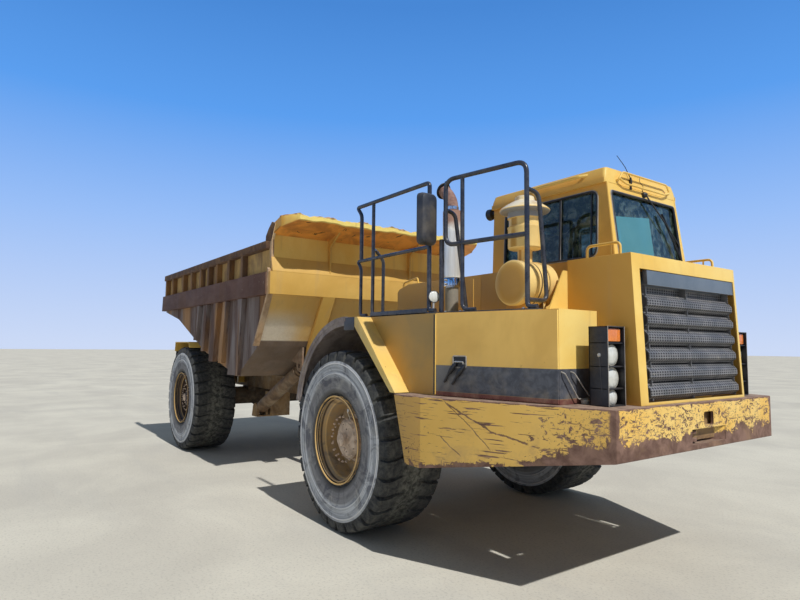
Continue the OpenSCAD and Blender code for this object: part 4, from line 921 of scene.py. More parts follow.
def make_lamp_boxes():
    """Open boxes with shelves between the lamps, and the lamps set back in them."""
    b = Build()
    low, high = BUMPER_TOP + 0.001, 2.115
    inner, outer, back, front = 0.905, 1.120, 2.700, 2.868
    for side, _ in SIDES:
        b.look = 0
        b.bar(side, back, back + 0.012, inner, outer, low, high)
        for y in (inner, outer - 0.008):
            b.bar(side, back, front, y, y + 0.008, low, high, 0.002)
        for z in (low, high - 0.008):
            b.bar(side, back, front, inner, outer, z, z + 0.008, 0.002)
        for z in (1.640, 1.806, 1.984):
            b.bar(side, back + 0.01, front - 0.012, inner, outer, z, z + 0.010, 0.002)
        for z, r in LAMPS:
            b.look = 1
            shell = ((-0.085, 0.72), (-0.06, 0.94), (-0.006, 1.03), (0.0, 1.05), (0.007, 1.05),
                     (0.010, 0.97))
            b.turned([(t, r * k) for t, k in shell], (LAMP_X, side * LAMP_Y, z), AHEAD, 40)
            b.look = 2
            dome = ((0.006, 0.97), (0.012, 0.90), (0.018, 0.70), (0.022, 0.40), (0.024, 0.0))
            b.turned([(t, r * k) for t, k in dome], (LAMP_X, side * LAMP_Y, z), AHEAD, 40)
        b.look = 3
        b.bar(side, 2.79, 2.852, LAMP_Y - 0.078, LAMP_Y + 0.078, 2.000, 2.098, 0.010)
        b.look = 4
        b.tube([(fx(2.8685), side * y, z) for y, z in ((0.907, low + 0.004), (0.907, high), (1.118, high),
                                                       (1.118, low + 0.004))], 0.0028, 6)
        b.look = 5
        b.bolt((fx(2.791), side * 1.119, 1.897), (0, side, 0), 0.010)
        b.look = 6
        b.tube([(fx(d), side * y, z) for d, y, z in ((2.792, 1.121, 1.885), (2.800, 1.122, 1.80),
                                                     (2.812, 1.122, 1.62))], 0.0022, 6)
    b.dress("headlamps", "lamp_box cable lens amber seal_edge zinc mirror", slot="black_paint")


# Cab windows, wiper, aerial and lamps

CAB_BACK, CAB_FRONT, CAB_Y, CAB_TOP_Y, CAB_WAIST, ROOF_LOW = 1.125, 2.585, 0.575, 0.548, 2.740, 3.400
SCREEN_LEAN = 0.1254
# Each window from its back or right end and its foot to its front or left end and its top
RIGHT_WINDOW = (1.285, 2.740, 2.410, 3.355)
LEFT_WINDOW = (2.080, 2.740, 2.410, 3.355)
WINDSCREEN = (-0.520, 2.712, 0.520, 3.335)
BACK_WINDOW = (-0.380, 2.800, 0.380, 3.300)


def cab_y(z):
    """The cab's side, which leans in above its waist."""
    return CAB_Y - max(0.0, z - CAB_WAIST) / (ROOF_LOW - CAB_WAIST) * (CAB_Y - CAB_TOP_Y)


def cab_front(z):
    """The cab's front, which leans back above the hood."""
    return fx(CAB_FRONT) - max(0.0, z - HOOD_TOP) * SCREEN_LEAN


def on_wall(side, out=0.0):
    """Places points on the cab's side wall."""
    return lambda d, z: Vector((fx(d), side * (cab_y(z) + out), z))


def on_screen(y, z, out=0.0):
    """A point on the cab's front face."""
    return Vector((cab_front(z) + out, y, z))


def shrunk(window, by):
    a0, z0, a1, z1 = window
    return a0 + by, z0 + by, a1 - by, z1 - by


def make_window_trim():
    b = Build()

    def edge(place, window, inset, bend, steps, radius, sides):
        path = [place(a, z) for a, z in rectangle(*shrunk(window, inset))]
        b.pipe(path, bend, steps, radius, sides, closed=True)

    for side, window in ((-1, RIGHT_WINDOW), (1, LEFT_WINDOW)):
        b.look = 0
        edge(on_wall(side, -0.004), window, 0.012, 0.085, 7, 0.012, 8)
        b.look = 1
        edge(on_wall(side, 0.001), window, 0.002, 0.088, 8, 0.0055, 6)
    edge(lambda y, z: on_screen(y, z, 0.001), WINDSCREEN, 0.002, 0.035, 6, 0.0045, 6)
    b.look = 0
    edge(lambda y, z: on_screen(y, z, -0.002), WINDSCREEN, 0.012, 0.035, 7, 0.012, 8)
    edge(lambda y, z: Vector((fx(1.127), y, z)), BACK_WINDOW, 0.010, 0.04, 7, 0.012, 8)
    for d, radius in ((1.988, 0.013), (2.33, 0.009)):
        b.tube([on_wall(-1, -0.016)(d, z) for z in (2.745, 3.05, 3.345)], radius, 8)
    b.look = 1
    b.tube([on_wall(-1, -0.006)(2.002, z) for z in (2.76, 3.05, 3.33)], 0.004, 6)
    b.done("window_seals", "seal seal_edge")

    b = Build()
    edge(on_wall(1), (1.392, 2.352, 1.918, 3.273), 0, 0.06, 7, 0.010, 8)
    b.look = 1
    b.bar(1, 1.90, 1.985, 0.588, 0.600, 2.50, 2.545, 0.004)
    b.pipe([(fx(1.92), 0.592, 2.52), (fx(1.92), 0.625, 2.52), (fx(1.97), 0.625, 2.52)], 0.01, 4, 0.008, 8)
    b.done("door_seal", "seal black", "cab_door")

    b = Build()
    for y, b.look in ((0.095, 0), (0.125, 1), (0.30, 1)):
        b.plate([(2.500, 2.70), (2.530, 2.70), (2.453, 3.34), (2.423, 3.34)], y, y + 0.018, 0.003)
    b.done("screen_posts", "cab seal")


def make_wiper():
    b = Build()
    pivot, tip = on_screen(0.0, 3.365, 0.012), on_screen(0.47, 2.93, 0.022)
    out = Vector((0.012, 0, 0))
    b.turned([(-0.012, 0.026), (0.012, 0.026), (0.02, 0.018), (0.028, 0.010)], pivot, (1, 0, 0.12), 20)
    middle = pivot.lerp(tip, 0.55) + out
    b.tube(smooth_path([pivot + out, middle, tip]), 0.006, 8)
    b.tube([pivot + Vector((0.012, 0.012, 0)), middle + Vector((0, 0.012, 0.002))], 0.004, 6)
    low, high = on_screen(0.25, 3.22, 0.010), on_screen(0.50, 2.76, 0.010)
    blade = [low, low.lerp(high, 0.5), high]
    b.tube(blade, 0.007, 6)
    b.tube([point + Vector((lift, 0, 0)) for point, lift in zip(blade, (0.010, 0.016, 0.010))], 0.004, 6)
    b.done("wiper", "seal")

    b = Build()
    foot = on_screen(-0.20, 3.43, 0.004)

    def near(x, y, z):
        return foot + Vector((x, y, z))

    b.block(near(-0.004, -0.012, -0.045), near(0.012, 0.012, 0.045))
    b.turned([(0, 0.010), (0.05, 0.010), (0.055, 0.006)], near(0.012, 0, 0.01), (0, -0.2, 1), 12)
    b.tube([near(0.012, -0.005, 0.05), near(-0.01, -0.06, 0.16), near(-0.05, -0.12, 0.262)],
           [0.004, 0.0034, 0.0028], 6)
    b.look = 1
    wire = ((-0.02, 3.53, 0.004), (-0.035, 3.49, 0.004), (0.01, 3.45, 0.005), (-0.01, 3.42, 0.004),
            (0.0, 3.385, 0.006))
    b.tube(smooth_path([on_screen(*point) for point in wire]), 0.0028, 6)
    b.done("aerial", "seal seal")


def make_work_lamps():
    b = Build()
    for side, _ in SIDES:
        at, back = (fx(1.100), side * 0.50, 3.375), (-1, 0, 0)
        b.look = 0
        b.turned([(-0.002, 0.02), (0.03, 0.025), (0.035, 0.055), (0.085, 0.062), (0.095, 0.062),
                  (0.098, 0.056)],
                 at, back, 28)
        b.look = 1
        b.turned([(0.096, 0.055), (0.101, 0.040), (0.103, 0.0)], at, back, 28)
    b.done("rear_work_lamps", "seal lens")
    b = Build()
    for side, _ in SIDES:
        x, y, z = at = (fx(1.335), side * 1.545, 2.405)
        out = (1, side * 0.30, 0.05)
        b.look = 2
        b.pipe([(x, y, z - 0.13), (x, y, z - 0.07), (x + 0.01, y, z - 0.02)], 0.02, 3, 0.010, 8)
        b.look = 0
        b.turned([(-0.055, 0.02), (-0.045, 0.042), (0.0, 0.056), (0.012, 0.057)], at, out, 28)
        b.look = 1
        b.turned([(0.010, 0.053), (0.018, 0.040), (0.021, 0.0)], at, out, 28)
    b.done("deck_work_lamps", "black lens zinc")


# Deck pieces

STACK_X, STACK_Y = fx(1.10), -1.120


def make_stack():
    b = Build()
    x, y = STACK_X, STACK_Y
    for z, profile in ((DECK_Z, ((0, 0.066), (0.292, 0.066))),
                       (2.542, ((0, 0.078), (0.003, 0.084), (0.086, 0.084), (0.089, 0.078))),
                       (2.631,
                        ((0, 0.080), (0.002, 0.092), (0.675, 0.092), (0.681, 0.086), (0.681, 0.064)))):
        b.turned(profile, (x, y, z), UP, 40)
    path = rounded([(x, y, 3.30), (x - 0.004, y, 3.395), (x - 0.050, y, 3.475), (x - 0.112, y, 3.535)],
                   0.07, 6)
    b.tube(path, 0.064, 28)
    b.tube([path[-1], path[-1] + Vector((-0.008, 0, 0.0087))], 0.067, 28)
    b.dress("exhaust", "exhaust", slot="exhaust_steel")

    b = Build()
    b.turned([(0, 0.064), (0.004, 0.070), (0.034, 0.070), (0.038, 0.064)], (x, y, 3.318), UP, 40)
    b.turned([(0, 0.086), (0.003, 0.0885), (0.082, 0.0885), (0.086, 0.086)], (x, y, 2.545), UP, 48)
    b.look = 1
    b.bolt((x - 0.070, y - 0.015, 3.336), (-1, -0.2, 0), 0.010, 0.03)
    for z in (2.565, 2.605):
        b.bolt((x + 0.02, y - 0.092, z), (0, -1, 0), 0.008, 0.02)
    b.done("exhaust_clamps", "chrome zinc", slot="exhaust_steel")

    b = Build()
    at = Vector((x - 0.128, y, 3.545))
    profile = ((0, 0.082), (0.004, 0.086), (0.008, 0.086), (0.012, 0.078), (0.016, 0.03), (0.018, 0.0))
    b.turned(profile, at, (-0.62, 0.0, 0.32), 40)
    b.tube([at + Vector(way) for way in ((0.02, 0, 0.088), (0.05, 0, 0.094), (0.075, 0, 0.07))], 0.008, 8)
    b.done("rain_cap", "seal", slot="exhaust_steel")


def make_rail_feet():
    b = Build()
    feet = ((1.355, 1.55), (1.395, 1.50), (1.45, 1.50), (1.62, 1.47), (1.66, 1.46), (2.30, 1.34),
            (2.26, 1.36), (0.16, 1.55), (0.30, 1.55))
    for side, _ in SIDES:
        for d, y in feet:
            b.look = 0
            b.bar(side, d - 0.022, d + 0.022, y - 0.026, y + 0.026, DECK_Z - 0.001, DECK_Z + 0.010, 0.002)
            b.look = 1
            b.bolt((fx(d), side * y, DECK_Z + 0.009), UP, 0.011)
    b.done("rail_feet", "rail zinc")


def make_mirrors():
    b, panes, balls = Build(), Build(), Build()
    for side, _ in SIDES:
        def ring(x, grow):
            y0, y1 = sorted((side * (1.560 - grow), side * (1.760 + grow)))
            return [(x, *point) for point in rounded_box(y0, 2.870 - grow, y1, 3.350 + grow, 0.050)]

        b.loft([ring(fx(d), grow) for d,
                grow in ((1.345, -0.004), (1.350, 0.0), (1.385, -0.002), (1.415, -0.018),
                                                  (1.428, -0.045))])
        y0, y1 = sorted((side * 1.575, side * 1.745))
        panes.slab(rounded_box(y0, 2.885, y1, 3.335, 0.03, 5), "X", fx(1.3435), fx(1.3475))
        for z in (2.980, 3.240):
            b.tube([(fx(1.318), side * 1.580, z), (fx(1.365), side * 1.590, z)], 0.013)
            b.tube([(fx(1.300) + 0.028 * math.cos(a), side * 1.570 + 0.028 * math.sin(a),
                     z) for a in circle(20)],
                   0.009, 8, closed=True)
            balls.turned([(-0.03, 0.001), (-0.026, 0.014), (-0.015, 0.025), (0, 0.030), (0.015, 0.025),
                          (0.026, 0.014), (0.03, 0.001)], (fx(1.30), side * 1.602, z - 0.03), UP, 20)
    b.dress("mirrors", "mirror", slot="black_paint")
    panes.done("mirror_glasses", "mirror_glass")
    balls.done("mirror_balls", "zinc")


# Body panels with the photograph's fine shape, each in place of its plain solid


def loose(build):
    """A loose object made from a build, to be joined or cut away."""
    obj = bpy.data.objects.new("part", build.mesh("part"))
    scene.collection.objects.link(obj)
    return obj


def applied(obj):
    """A new mesh with the shape that an object's modifiers give."""
    depsgraph = bpy.context.evaluated_depsgraph_get()
    return bpy.data.meshes.new_from_object(obj.evaluated_get(depsgraph))


def carve(whole, cutters, operation="DIFFERENCE"):
    """Cuts shapes away from a build and returns a new build with the result."""
    obj = loose(whole)
    parts = [loose(c) for c in cutters]
    for part in parts:
        modifier = obj.modifiers.new("cut", "BOOLEAN")
        modifier.object, modifier.operation, modifier.solver = part, operation, "EXACT"
    mesh = applied(obj)
    result = Build()
    result.bm.from_mesh(mesh)
    for item in (obj, *parts):
        old = item.data
        bpy.data.objects.remove(item)
        bpy.data.meshes.remove(old)
    bpy.data.meshes.remove(mesh)
    return result


def slab_of(outline, axis, start, end):
    b = Build()
    b.slab(outline, axis, start, end)
    return b


def soften(b, offset, segments, wanted):
    """Rounds the edges between two faces that the test picks from their angle and two ends."""
    edges = [e for e in b.bm.edges if len(e.link_faces) == 2
             and wanted(e.calc_face_angle(0), [v.co for v in e.verts])]
    bmesh.ops.bevel(b.bm, geom=edges, offset=offset, segments=segments, affect="EDGES", profile=0.6,
                    clamp_overlap=True)


HOOD_FACE, HOOD_LEAN, HOOD_TOP, HOOD_Y, HOOD_BACK = 2.955, 0.060, 2.700, 0.840, 2.290
GRILLE_RIGHT, GRILLE_LEFT, GRILLE_HEADER = 0.735, 0.803, 2.457


def hood_face(z):
    return fx(HOOD_FACE - HOOD_LEAN * (z - BUMPER_TOP) / (HOOD_TOP - BUMPER_TOP))


def make_hood():
    t = 0.012

    def side(inset, grow):
        low, back, top = BUMPER_TOP - grow, fx(HOOD_BACK) - grow, HOOD_TOP - inset
        return [(back, low), (hood_face(low) - inset, low), (hood_face(HOOD_TOP) - inset, top), (back, top)]

    whole = slab_of(side(0, 0), "Y", -HOOD_Y, HOOD_Y)
    hollow = slab_of(side(t, 0.05), "Y", -HOOD_Y + t, HOOD_Y - t)
    opening = slab_of(rectangle(-GRILLE_RIGHT, 1.535, GRILLE_LEFT, 2.580), "X",
                      fx(HOOD_BACK + 0.4), fx(HOOD_FACE + 0.05))
    cab = slab_of(rectangle(fx(2.20), 2.5, fx(2.592), 2.8), "Y", -0.590, 0.590)
    b = carve(whole, [hollow, opening, cab])
    soften(b, 0.006, 2, lambda angle, ends: angle > 0.6 and all(abs(end.y) > 0.83 for end in ends))
    for side_y, _ in SIDES:
        b.slab([(side_y * y, z) for y, z in ((1.09, 2.251), (0.82, 2.251), (0.82, 2.61), (0.89, 2.61))],
               "X", fx(HOOD_BACK) - t, fx(HOOD_BACK))
        handle = ((2.430, 2.695), (2.430, 2.810), (2.745, 2.810), (2.745, 2.695))
        b.pipe([(fx(d), side_y * 0.750, z) for d, z in handle], 0.045, 6, 0.012)
        b.tube([(fx(2.66), side_y * 0.750, 2.698), (fx(2.66), side_y * 0.750, 2.806)], 0.008, 8)
    b.dress("hood", "hood")


# One louvre's section: distance behind the hood's face, and share of the louvre's pitch
LOUVRE = ((0.062, 0.95), (0.020, 0.66), (0.014, 0.60), (0.012, 0.30), (0.018, 0.24), (0.054, 0.04),
          (0.060, 0.08), (0.024, 0.28), (0.022, 0.58), (0.068, 0.91))


def make_grille():
    low, high = BUMPER_TOP + 0.026, 2.576
    pitch = (GRILLE_HEADER - 0.058 - low) / 6
    left = GRILLE_LEFT - 0.002
    back = hood_face(high) - 0.085
    b = Build()

    def end(z):
        return GRILLE_RIGHT - 0.062 - 0.050 * (z - low) / (high - low)

    x0, x1 = hood_face(GRILLE_HEADER), hood_face(high)
    b.slab([(x0 - 0.045, GRILLE_HEADER), (x0 - 0.005, GRILLE_HEADER), (x1 - 0.005, high),
            (x1 - 0.045, high)],
           "Y", -end(GRILLE_HEADER), left, 0.003)
    for i in range(6):
        z = low + i * pitch
        x = hood_face(z + pitch / 2)
        b.slab([(x - behind, z + pitch * share) for behind, share in LOUVRE], "Y", -end(z), left - 0.030)
    b.slab(rectangle(-GRILLE_RIGHT + 0.001, low, left, high), "X", back - 0.008, back)
    for y in (-end(GRILLE_HEADER) + 0.012, 0.0, left - 0.060):
        b.slab([(back, low), (hood_face(low) - 0.034, low),
                (hood_face(GRILLE_HEADER) - 0.034, GRILLE_HEADER + 0.01),
                (back, GRILLE_HEADER + 0.01)], "Y", y, y + 0.008)
    b.dress("grille", "grille", slot="grille_paint")


def make_bumper():
    reach, knee, face_y, wide, t = fx(3.010), fx(1.472), 1.240, 1.800, 0.024
    low, high, y0, y1 = 1.180, 1.300, -0.215, 0.335

    def plan(inset):
        k = inset * 0.2
        right = [(fx(0.98), -wide + inset), (knee - k, -wide + inset), (reach - inset, -face_y + 3 * k)]
        return right + [(x, -y) for x, y in reversed(right)]

    whole = slab_of(plan(0), "Z", 0.80, BUMPER_TOP)
    side = slab_of([(fx(1.082), BUMPER_TOP + 0.01), (fx(1.082), BUMPER_TOP - 0.01), (fx(1.260), 0.910),
                    (knee, 0.910), (reach + 0.01, 1.1365), (reach + 0.01, BUMPER_TOP + 0.01)], "Y", -2, 2)
    b = carve(whole, [side], "INTERSECT")
    soften(b, 0.010, 3, lambda angle, ends: angle > 0.25 and max(end.x for end in ends) > knee - 0.02
           and min(end.z for end in ends) > 0.95)
    hollow = slab_of(plan(t), "Z", 0.5, BUMPER_TOP - t)
    room = slab_of(rectangle(fx(0.5), -0.88, reach - 0.2, 0.88), "Z", 0.5, 2.0)
    hole = slab_of(rounded_box(-0.022, 1.316, 0.137, 1.433, 0.022), "X", reach - 0.1, reach + 0.05)
    pocket = slab_of(rectangle(y0, low, y1, high), "X", reach - 0.1, reach + 0.05)
    b = carve(b, [hollow, room, hole, pocket])
    back, front = reach - 0.190, reach - 0.02
    for a in (y0 - 0.02, y1):
        b.block((back, a, low - 0.02), (front, a + 0.02, high + 0.02), 0)
    for a in (low - 0.02, high):
        b.block((back, y0, a), (front, y1, a + 0.02), 0)
    b.block((back - 0.01, y0 - 0.02, low - 0.02), (back, y1 + 0.02, high + 0.02), 0)
    b.slab([(back, 0.02), (reach - 0.004, y1), (back, y1)], "Z", low, high - 0.001)
    pin = reach - 0.095
    for z in (low + 0.016, high - 0.040):
        b.turned([(0, 0.072), (0.024, 0.072)], (pin, -0.12, z), UP)
        b.block((back, -0.19, z), (pin, -0.05, z + 0.024), 0)
    b.turned([(0, 0.024), (high - low, 0.024)], (pin, -0.12, low), UP, 24)
    b.dress("front_bumper", "bumper", slot="bumper_paint", sharp=28)


ARCH_X, ARCH_Z = 0.128, 1.120


def make_arches():
    """Each bent part has an inner and an outer radius, an end angle and two distances from the middle."""
    b = Build()
    for side, _ in SIDES:
        for inner, outer, end, y0, y1 in ((1.101, 1.125, 171, 0.730, 1.770),
                                          (1.101, 1.125, 141, 0.577, 0.730),
                                          (1.040, 1.124, 171, 1.756, 1.770),
                                          (1.088, 1.137, 171, 1.738, 1.776)):
            corners = ((outer, y0), (outer, y1), (inner, y1), (inner, y0))
            b.loft([[(fx(ARCH_X) + r * math.cos(a), side * y, ARCH_Z + r * math.sin(a)) for r, y in corners]
                    for a in map(math.radians, range(90, end + 1, 3))])
        b.bar(side, 0.120, 0.309, 0.577, 1.770, 2.221, 2.245, 0.002)
        b.look = 1
        b.bar(side, 0.105, 0.309, 1.756, 1.772, 2.112, 2.248, 0.004)
        b.look = 0
    b.dress("wheel_arches", "rubber mirror", slot="arch_rubber", sharp=25)


RAIL_TOP, RAIL_MID, RAIL_FOOT, RAIL_R = 3.482, 2.874, 2.276, 0.021
# Each run of rail: bend, radius, then (distance ahead of the front axle, distance out, height) points
REAR_RAILS = (
    (0.045, RAIL_R, (1.39, 1.570, RAIL_FOOT), (1.30, 1.570, RAIL_FOOT), (1.30, 1.570, RAIL_TOP),
     (0.018, 1.570, RAIL_TOP), (0.110, 1.570, RAIL_TOP - 0.10), (0.110, 1.570, RAIL_MID)),
    (0.045, 0.018, (1.30, 1.570, RAIL_MID), (0.036, 1.570, RAIL_MID), (0.110, 1.570, RAIL_MID - 0.08),
     (0.110, 1.570, RAIL_FOOT), (0.23, 1.570, RAIL_FOOT)),
    (0.07, 0.019, (0.345, 1.570, RAIL_TOP), (0.345, 1.570, RAIL_FOOT), (0.45, 1.570, RAIL_FOOT)),
    (0.05, 0.018, (0.345, 1.570, RAIL_MID + 0.09), (0.300, 1.510, RAIL_MID + 0.10),
     (0.290, 1.400, RAIL_MID),
     (0.290, 1.400, RAIL_FOOT), (0.380, 1.450, RAIL_FOOT)),
    (0.02, 0.023, (1.395, 1.50, 2.26), (1.395, 1.50, RAIL_MID + 0.06)),
)
# A distance out of None follows the slope of the deck's edge
FRONT_RAILS = (
    (0.10, RAIL_R, (2.38, None, RAIL_FOOT), (2.29, None, RAIL_FOOT), (2.29, None, RAIL_TOP),
     (1.45, None, RAIL_TOP), (1.45, None, RAIL_MID), (2.29, None, RAIL_MID)),
    (0.09, 0.019, (1.64, None, RAIL_TOP), (1.64, None, RAIL_FOOT), (1.78, None, RAIL_FOOT)),
    (0.08, 0.019, (2.29, None, RAIL_TOP - 0.23), (2.29, 1.20, RAIL_TOP - 0.25),
     (2.29, 1.105, RAIL_FOOT + 0.06),
     (2.29, None, RAIL_FOOT + 0.06)),
    (0.08, 0.019, (1.45, None, RAIL_TOP - 0.28), (1.45, 1.385, RAIL_TOP - 0.30), (1.45, 1.240, RAIL_FOOT),
     (1.54, 1.240, RAIL_FOOT)),
)


def make_rails():
    b = Build()
    base = DECK_Z + 0.0005
    for side, name in SIDES:
        for bend, radius, *points in REAR_RAILS + (FRONT_RAILS if name == "right" else ()):
            b.pipe([(fx(d), side * (y or 1.500 - (d - 1.450) * 0.155 / 0.840), z) for d, y, z in points],
                   bend, 7, radius, 12)
        b.bar(side, 0.090, 1.420, 1.598, 1.510, base, DECK_Z + 0.012, 0.002)
        b.bar(side, 0.345, 1.300, 1.598, 1.588, base, DECK_Z + 0.050, 0.002)
        b.bar(side, 0.270, 0.410, 1.530, 1.370, base, DECK_Z + 0.012, 0.002)
        edge = ((1.36, 1.545), (1.44, 1.545), (2.40, 1.355), (2.40, 1.296), (1.44, 1.47), (1.36, 1.47))
        b.slab([(fx(d), side * y) for d, y in edge], "Z", base, DECK_Z + 0.012)
    b.dress("deck_rails", "rail", slot="black_paint", sharp=40)


# The pre-cleaner's outline from its foot up, as (height, radius)
PRE_CLEANER = (
    (2.640, 0.064), (2.800, 0.064), (2.806, 0.100), (2.812, 0.140), (2.822, 0.148), (2.990, 0.148),
    (2.996, 0.151), (3.006, 0.151), (3.012, 0.138), (3.078, 0.138), (3.082, 0.150), (3.132, 0.150),
    (3.140, 0.212), (3.155, 0.222), (3.160, 0.220), (3.176, 0.202), (3.205, 0.160), (3.228, 0.120),
    (3.244, 0.088), (3.276, 0.084), (3.284, 0.070), (3.286, 0.0))


def make_air_cleaner():
    b = Build()
    r, out = 0.198, (0, -1, 0)
    drum = ((0, 0.88), (0.004, 0.96), (0.016, 1), (0.385, 1), (0.396, 0.97), (0.402, 0.90), (0.405, 0.5),
            (0.406, 0))
    b.turned([(t, r * k) for t, k in drum], (fx(2.020), -0.848, 2.500), out, 56)
    for off in (0.100, 0.262):
        band = [(0, r), (0.002, r + 0.005), (0.020, r + 0.005), (0.022, r)]
        b.turned(band, (fx(2.020), -0.85 - off, 2.500), out, 56)
    b.turned(PRE_CLEANER, (fx(2.000), -1.050, 0), UP, 56)
    for off in (0.962, 1.162):
        b.bar(-1, 1.90, 2.14, off - 0.02, off + 0.02, DECK_Z, 2.36, 0.004)
    b.dress("air_cleaner", "cleaner")


def cab_ring(z, inset):
    back, y = fx(CAB_BACK) + inset, cab_y(z) - inset
    return [(*point, z) for point in rectangle(back, -y, cab_front(z) - inset, y)]


def cab_form(inset, low, top):
    b = Build()
    b.loft([cab_ring(z, inset) for z in (low, HOOD_TOP, CAB_WAIST, top)])
    return b


def window_cutters(grown):
    """Shapes that cut the side windows, the windscreen and the rear window."""
    def cutter(window, bend, axis, start, end):
        a0, z0, a1, z1 = shrunk(window, -grown)
        if axis == "Y":
            a0, a1 = fx(a0), fx(a1)
        return slab_of(rounded_box(a0, z0, a1, z1, bend), axis, start, end)

    return [cutter(RIGHT_WINDOW, 0.088, "Y", -1.0, -0.3), cutter(LEFT_WINDOW, 0.088, "Y", 0.3, 1.0),
            cutter(WINDSCREEN, 0.040, "X", fx(2.415), fx(3.0)),
            cutter(BACK_WINDOW, 0.060, "X", fx(1.00), fx(1.25))]


def make_cab():
    door = slab_of(rectangle(fx(1.300), 2.270, fx(2.010), 3.355), "Y", 0.3, 1.0)
    b = carve(cab_form(0, 2.121, ROOF_LOW),
              [cab_form(0.045, 2.170, ROOF_LOW + 0.02), *window_cutters(0), door])
    for z in (2.330, 2.620):
        b.bar(1, 1.21, 1.30, 0.570, 0.628, z, z + 0.03)
        b.turned([(0, 0.020), (0.03, 0.020), (0.031, 0.012), (0.075, 0.012)], (fx(1.300), 0.604, z), UP, 20)
    for side, _ in SIDES:
        b.tube([(fx(CAB_FRONT - 0.006), side * (CAB_Y - 0.003), HOOD_TOP),
                (cab_front(ROOF_LOW) - 0.004, side * (CAB_TOP_Y - 0.003), ROOF_LOW)], 0.010, 8)
    b.dress("cab_shell", "cab")

    panes = carve(cab_form(0.020, 2.30, ROOF_LOW - 0.001), [cab_form(0.026, 2.2, ROOF_LOW + 0.1)])
    openings = Build()
    for cutter in window_cutters(-0.0005):
        mesh = cutter.mesh("pane")
        openings.bm.from_mesh(mesh)
        bpy.data.meshes.remove(mesh)
    carve(panes, [openings], "INTERSECT").dress("cab_glass", "screen", slot="tinted_glass")


def make_roof():
    b = Build()

    def ring(z, back, front, y):
        return [(*point, z) for point in rounded_box(fx(back), -y, fx(front), y, 0.035, 4)]

    b.loft([ring(*values) for values in (
        (3.4005, 1.112, 2.500, 0.574), (3.440, 1.110, 2.497, 0.574), (3.475, 1.112, 2.492, 0.566),
        (3.536, 1.118, 2.482, 0.540), (3.546, 1.132, 2.468, 0.522))])
    for side, _ in SIDES:
        rail = ((1.66, 0.545, 3.50), (1.70, 0.598, 3.492), (2.24, 0.598, 3.492), (2.30, 0.540, 3.50))
        b.pipe([(fx(d), side * y, z) for d, y, z in rail], 0.05, 6, 0.016)
        b.plate(rectangle(1.12, 3.395, 2.49, 3.440), side * 0.574, side * 0.582, 0.002)
    for half in (((-0.020, 0.415, 3.430), (0.030, 0.410, 3.440), (0.030, 0.360, 3.515)),
                 ((0.030, 0.400, 3.445), (0.034, 0.32, 3.415))):
        right = [(fx(2.497) + out, -y, z) for out, y, z in half]
        b.pipe(right + [(x, -y, z) for x, y, z in reversed(right)], 0.03, 5, 0.009)
    b.dress("cab_roof", "cab")


def make_casing():
    b = Build()
    base, top = DECK_Z + 0.0005, 2.700
    b.plate([(-0.380, base), (-0.380, top - 0.09), (-0.340, top - 0.05), (-0.150, top), (1.124, top),
             (1.124, base)],
            -0.730, 0.730, 0.012)
    b.plate([(1.10, base), (1.10, top), (1.86, top), (1.90, top - 0.04), (1.90, base)], -0.730, -0.5765,
            0.008)
    b.plate([(-0.380, 1.760), (-0.380, DECK_Z + 0.01), (1.049, DECK_Z + 0.01), (1.049, 1.760)], -0.574,
            0.574)
    for side, _ in SIDES:
        rail = ((-0.330, -0.06), (-0.330, 0.030), (-0.040, 0.075), (-0.040, -0.01))
        b.pipe([(fx(d), side * 0.670, top + z) for d, z in rail], 0.045, 5, 0.012)
    for d in (0.18, 0.62):
        b.bar(1, d, d + 0.38, -0.735, 0.735, 2.30, 2.66, 0.004)
    b.dress("rear_casing", "casing")


# The bed's outer steelwork

BED_Y, BAND_Y, BAND_LOW, BAND_HIGH, BED_TOP, BED_FRONT = 1.700, 1.795, 2.640, 2.950, 3.380, 3.910
TIP, CANOPY_LOW, CANOPY_LIP = 4.460, 3.465, 3.596
STIFFENERS = (-1.500, -1.000, -0.260, 0.280, 0.840, 1.270, 1.720, 2.290, 2.860)
# Each rib: its back and front edge at the top, the same at its foot, and the foot's height
RIBS = ((2.710, 2.960, 2.420, 2.810, 1.484), (2.130, 2.260, 1.960, 2.100, 1.650),
        (1.660, 1.860, 1.480, 1.690, 1.664), (1.180, 1.300, 1.040, 1.170, 1.830),
        (0.700, 0.860, 0.580, 0.730, 2.020))


def make_ribs():
    b = Build()
    low, high = BAND_HIGH - 0.002, BED_TOP - 0.104
    for side, _ in SIDES:
        def across(points, out, soft=0.004):
            b.plate(points, side * out, side * BED_Y, soft, rx)

        across(((-1.680, BAND_LOW), (3.868, BAND_LOW), (3.868, BAND_HIGH), (-1.640, BAND_HIGH)), BAND_Y,
               0.008)
        across(((-1.565, BED_TOP - 0.105), (3.848, BED_TOP - 0.105), (3.848, BED_TOP), (-1.546, BED_TOP)),
               BAND_Y, 0.008)
        for d in STIFFENERS:
            across(rectangle(d, low, d + 0.095, high), BAND_Y - 0.012)
        for top_back, top_front, foot_back, foot_front, foot in RIBS:
            across(((foot_back, foot), (foot_front, foot), (top_front, BAND_LOW + 0.001),
                    (top_back, BAND_LOW + 0.001)), BAND_Y - 0.020)
    b.dress("bed_ribs", "ribs", "bed", "bed_steel")


def waver(y, seed, size):
    """A smooth uneven line along Y, the same each time."""
    waves = ((0.5, 5.1, 1.0), (0.3, 11.7, 2.3), (0.2, 27.0, 4.1))
    return size * sum(share * math.sin(y * pace + seed * shift) for share, pace, shift in waves)


